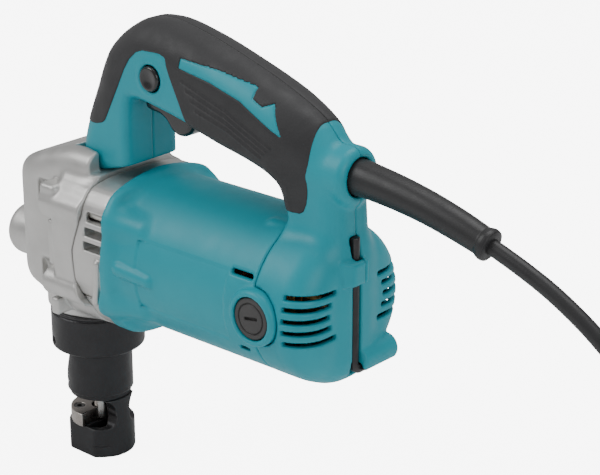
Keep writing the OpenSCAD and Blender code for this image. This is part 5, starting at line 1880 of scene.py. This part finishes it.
@dataclass
class PunchGear(Assembly):
    """Lock nut, die holder, die, punch and hex wrench."""

    def build(self) -> None:
        """Build the pieces below the gear head."""
        self._nut()
        self._holder()
        self._die()
        self._punch()
        self._wrench()

    def _nut(self) -> None:
        """Build the knurl-free ring nut with two spanner holes."""
        body = bar(Axis.Z, 23.0, 57.6, 79.0, (0.0, 0.0), 1.3)
        body = body.join(bar(Axis.Z, 21.6, 57.0, 60.0, (0.0, 0.0), 0.6), 0.3)
        body = body.cut(self._band(22.3, 25.0, 76.2, 77.1), 0.3)
        for turn in SPANNER_HOLE_TURNS:
            place = bar(Axis.X, 1.9, 20.3, 26.0, (0.0, 61.5), 0.3).turned(turn)
            body = body.cut(place, 0.4)
        for radius, low, high in ((16.9, 50.0, 90.0), (19.3, 62.8, 90.0), (20.1, 67.2, 90.0)):
            body = body.cut(bar(Axis.Z, radius, low, high, (0.0, 0.0), 0.2), 0.3)
        nut = Mesher((-23.4, -23.4, 56.6), (23.4, 23.4, 79.4), 0.6).build("ring_nut", body)
        self.fit(nut, BLACK_OXIDE, "lock_nut", ["lock_nut"])

    @staticmethod
    def _band(inner: float, outer: float, low: float, high: float) -> Shape:
        """Return a flat ring round the punch axis.

        Args:
            inner: Radius of its hole.
            outer: Outer radius.
            low: Where it starts along the axis.
            high: Where it ends.

        Returns:
            The solid.
        """
        return bar(Axis.Z, outer, low, high, (0.0, 0.0), 0.1).cut(
            bar(Axis.Z, inner, low - 1, high + 1, (0.0, 0.0), 0.1), 0.1
        )

    def _holder(self) -> None:
        """Build the die holder: barrel above, narrow web behind and round foot below."""
        barrel = bar(Axis.Z, 16.5, 31.0, 66.8, (0.0, 0.0), 0.7)
        barrel = barrel.join(bar(Axis.Z, 19.0, 63.0, 67.0, (0.0, 0.0), 0.3), 0.2)
        slope = plane((-11.6, -7.5, 48), (0.83, 0.5, -0.25))
        barrel = barrel.cut(slope.keep(plane((0, 0, 57), (0, 0, 1)), 1.0), 0.5)
        barrel = barrel.cut(block((-20, -18, 34.8), (-9, -9.5, 37.6), 0.6), 0.4)
        foot = bar(Axis.Z, 16.5, 0.0, 15.5, (0.0, 0.0), 0.8)
        foot = foot.keep(plane((0, -13.9, 0), (0, -1, 0)), 0.5)
        foot = foot.cut(self._band(15.9, 18.0, 5.6, 6.6), 0.3)
        well = bar(Axis.Z, 13.0, 5.0, 30.0, (0.0, 0.0), 0.8)
        foot = foot.cut(well.keep(plane((2.3, 0, 0), (-1, 0, 0)), 0.3), 0.4)
        web = block((8.8, -4.3, 2.0), (22.0, 4.3, 40.0), 1.2)
        upper = barrel.join(web, 9.0).keep(plane((0, 0, 22.5), (0, 0, -1)), 0.2)
        lower = foot.join(web, 6.0).keep(plane((0, 0, 23.5), (0, 0, 1)), 0.2)
        body = upper.join(lower, 1.2)
        sleeve = bar(Axis.Z, 16.5, -2.0, 62.9, (0.0, 0.0), 0.8)
        sleeve = sleeve.join(bar(Axis.Z, 19.0, 62.9, 67.0, (0.0, 0.0), 0.3), 0.1)
        body = body.keep(sleeve, 0.4)
        body = body.cut(self._band(15.2, 18.0, 30.8, 33.4), 0.5)
        body = body.cut(block((-20, -20, 22.8), (4.2, 20, 30.6), 0.4), 0.3)
        body = body.cut(bar(Axis.Z, 5.2, 15.0, 40.0, (0.0, 0.0), 0.2), 0.2)
        body = body.cut(bar(Axis.Z, 10.2, 28.0, 70.0, (0.0, 0.0), 0.4), 0.4)
        body = body.keep(plane((0, 0, 0), (0, 0, -1)), 0.2)
        holder = Mesher((-19.4, -19.4, -0.3), (19.4, 19.4, 67.3), 0.45).build("die_carrier", body)
        self.fit(holder, BLACK_OXIDE, "die_holder", ["die_holder"])

    def _die(self) -> None:
        """Build the die with its punch hole and two screw recesses."""
        body = bar(Axis.Z, 15.4, 15.6, 22.5, (0.0, 0.0), 0.3).keep(plane((2.0, 0, 0), (1, 0, 0)), 0.3)
        body = body.cut(bar(Axis.Z, 5.1, 10.0, 30.0, (0.0, 0.0), 0.1), 0.15)
        for y in DIE_SCREW_Y:
            body = body.cut(bar(Axis.Z, 2.9, 20.0, 30.0, (-7.0, y), 0.1), 0.3)
            body = body.cut(bar(Axis.Z, 1.7, 10.0, 30.0, (-7.0, y), 0.1), 0.2)
        die = Mesher((-15.8, -15.8, 15.2), (3, 15.8, 22.9), 0.35).build("cutting_die", body)
        self.fit(die, DIE_STEEL, "die_holder", ["die"], "die_steel")

    def _punch(self) -> None:
        """Build the punch: a round shank, flat on one side at its tip."""
        body = bar(Axis.Z, 4.6, 16.0, 62.0, (0.0, 0.0), 0.25)
        body = body.join(bar(Axis.Z, 6.0, 61.4, 69.8, (0.0, 0.0), 0.3), 0.2)
        body = body.cut(block((-8, -8, 10), (-0.5, 8, 28.0), 0.6), 0.25)
        punch = Mesher((-6.3, -6.3, 15.7), (6.3, 6.3, 70), 0.32).build("round_punch", body)
        self.fit(punch, BRIGHT, "punch", ["punch"], "punch_steel")

    def _wrench(self) -> None:
        """Build the bent six-sided key that clips on the rear cover."""
        x, y, low, length, arm, radius = 165.8, -1.5, 92.5, 62.0, 24.0, 2.31
        bend = 3.4
        corner = [
            (x, y + bend * (1 - math.cos(a)), low + bend * (1 - math.sin(a)))
            for a in np.linspace(0, math.pi / 2, 9)
        ]
        upright = [(x, y, low + length), (x, y, low + length - 0.5), (x, y, low + 30), (x, y, low + bend + 2)]
        arm_line = [(x, y + bend + 2, low), (x, y + arm - 0.5, low), (x, y + arm, low)]
        line = np.array(upright + corner + arm_line)
        radii = [radius * 0.82] + [radius] * (len(line) - 2) + [radius * 0.82]
        wrench = Sweep(line, radii, 6).build("hex_key")
        flat = wrench.data.polygons
        flat.foreach_set("use_smooth", [False] * len(flat))
        bevel = wrench.modifiers.new("edges", "BEVEL")
        bevel.width = 0.00025
        bevel.segments = 2
        self.fit(wrench, BLACK_OXIDE, "hex_wrench", ["hex_wrench"], "key_steel")


@dataclass
class InnerWorks(Assembly):
    """Parts inside the casings, which keep their plain solids and get finishes of their own."""

    def build(self) -> None:
        """Dress every solid that no other assembly stands for."""
        looks: dict[str, tuple[Finish, Sequence[str]]] = {
            "bright_steel": (BRIGHT, (
                "trigger_pin", "armature_shaft", "armature_front_bearing", "armature_rear_bearing",
                "brush_springs", "idler_shaft", "idler_gear", "idler_bearings", "crank_shaft", "crank_gear",
                "crank_rear_bearing", "crank_front_bearing", "eccentric_bearing", "connecting_rod",
                "wrist_pin", "ram",
            )),
            "zinc_steel": (ZINC, (
                "handle_screws", "cord_clamp_screws", "field_screws", "housing_screws", "plate_screws",
            )),
            "grey_plastic": (GREY_PLASTIC, ("switch_body", "cord_clamp", "coil_tie", "fan_baffle", "fan")),
            "core_steel": (CORE_STEEL, ("field_core", "armature_core")),
            "copper_wire": (COPPER, ("field_coils", "armature_winding")),
            "brass": (BRASS, ("commutator", "brush_holders")),
            "carbon": (CARBON, ("carbon_brushes",)),
            "cast_aluminium": (CAST, ("bearing_plate",)),
            "bronze": (BRONZE, ("guide_sleeve",)),
            "soft_rubber": (RUBBER, ("ram_seal",)),
            "black_oxide_steel": (BLACK_OXIDE, ("punch_screw", "die_screws")),
        }
        for paint, (finish, names) in looks.items():
            for name in names:
                solid = frame["nodes"][name]
                self.paints.put(solid, finish, paint)
                LOG.info("%s: %s", name, paint)


def note_size(label: str, sizes: dict[str, list[list[float]]]) -> None:
    """Keep the frame's present size under a label, as plain lists in metres."""
    low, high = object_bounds()
    sizes[label] = [[round(float(c), 5) for c in low], [round(float(c), 5) for c in high]]


def main() -> None:
    """Build the studio and every assembly in order."""
    sizes: dict[str, list[list[float]]] = {}
    note_size("solids", sizes)
    paints = Paintbox()
    Studio().build()
    for assembly in (CordSet, MotorCasing, BearingCasing, GearHead, Handle, Controls, PunchGear, InnerWorks):
        assembly(paints).build()
    note_size("dressed", sizes)


if __name__ == "__main__":
    logging.basicConfig(level=logging.INFO, format="%(message)s")
    main()
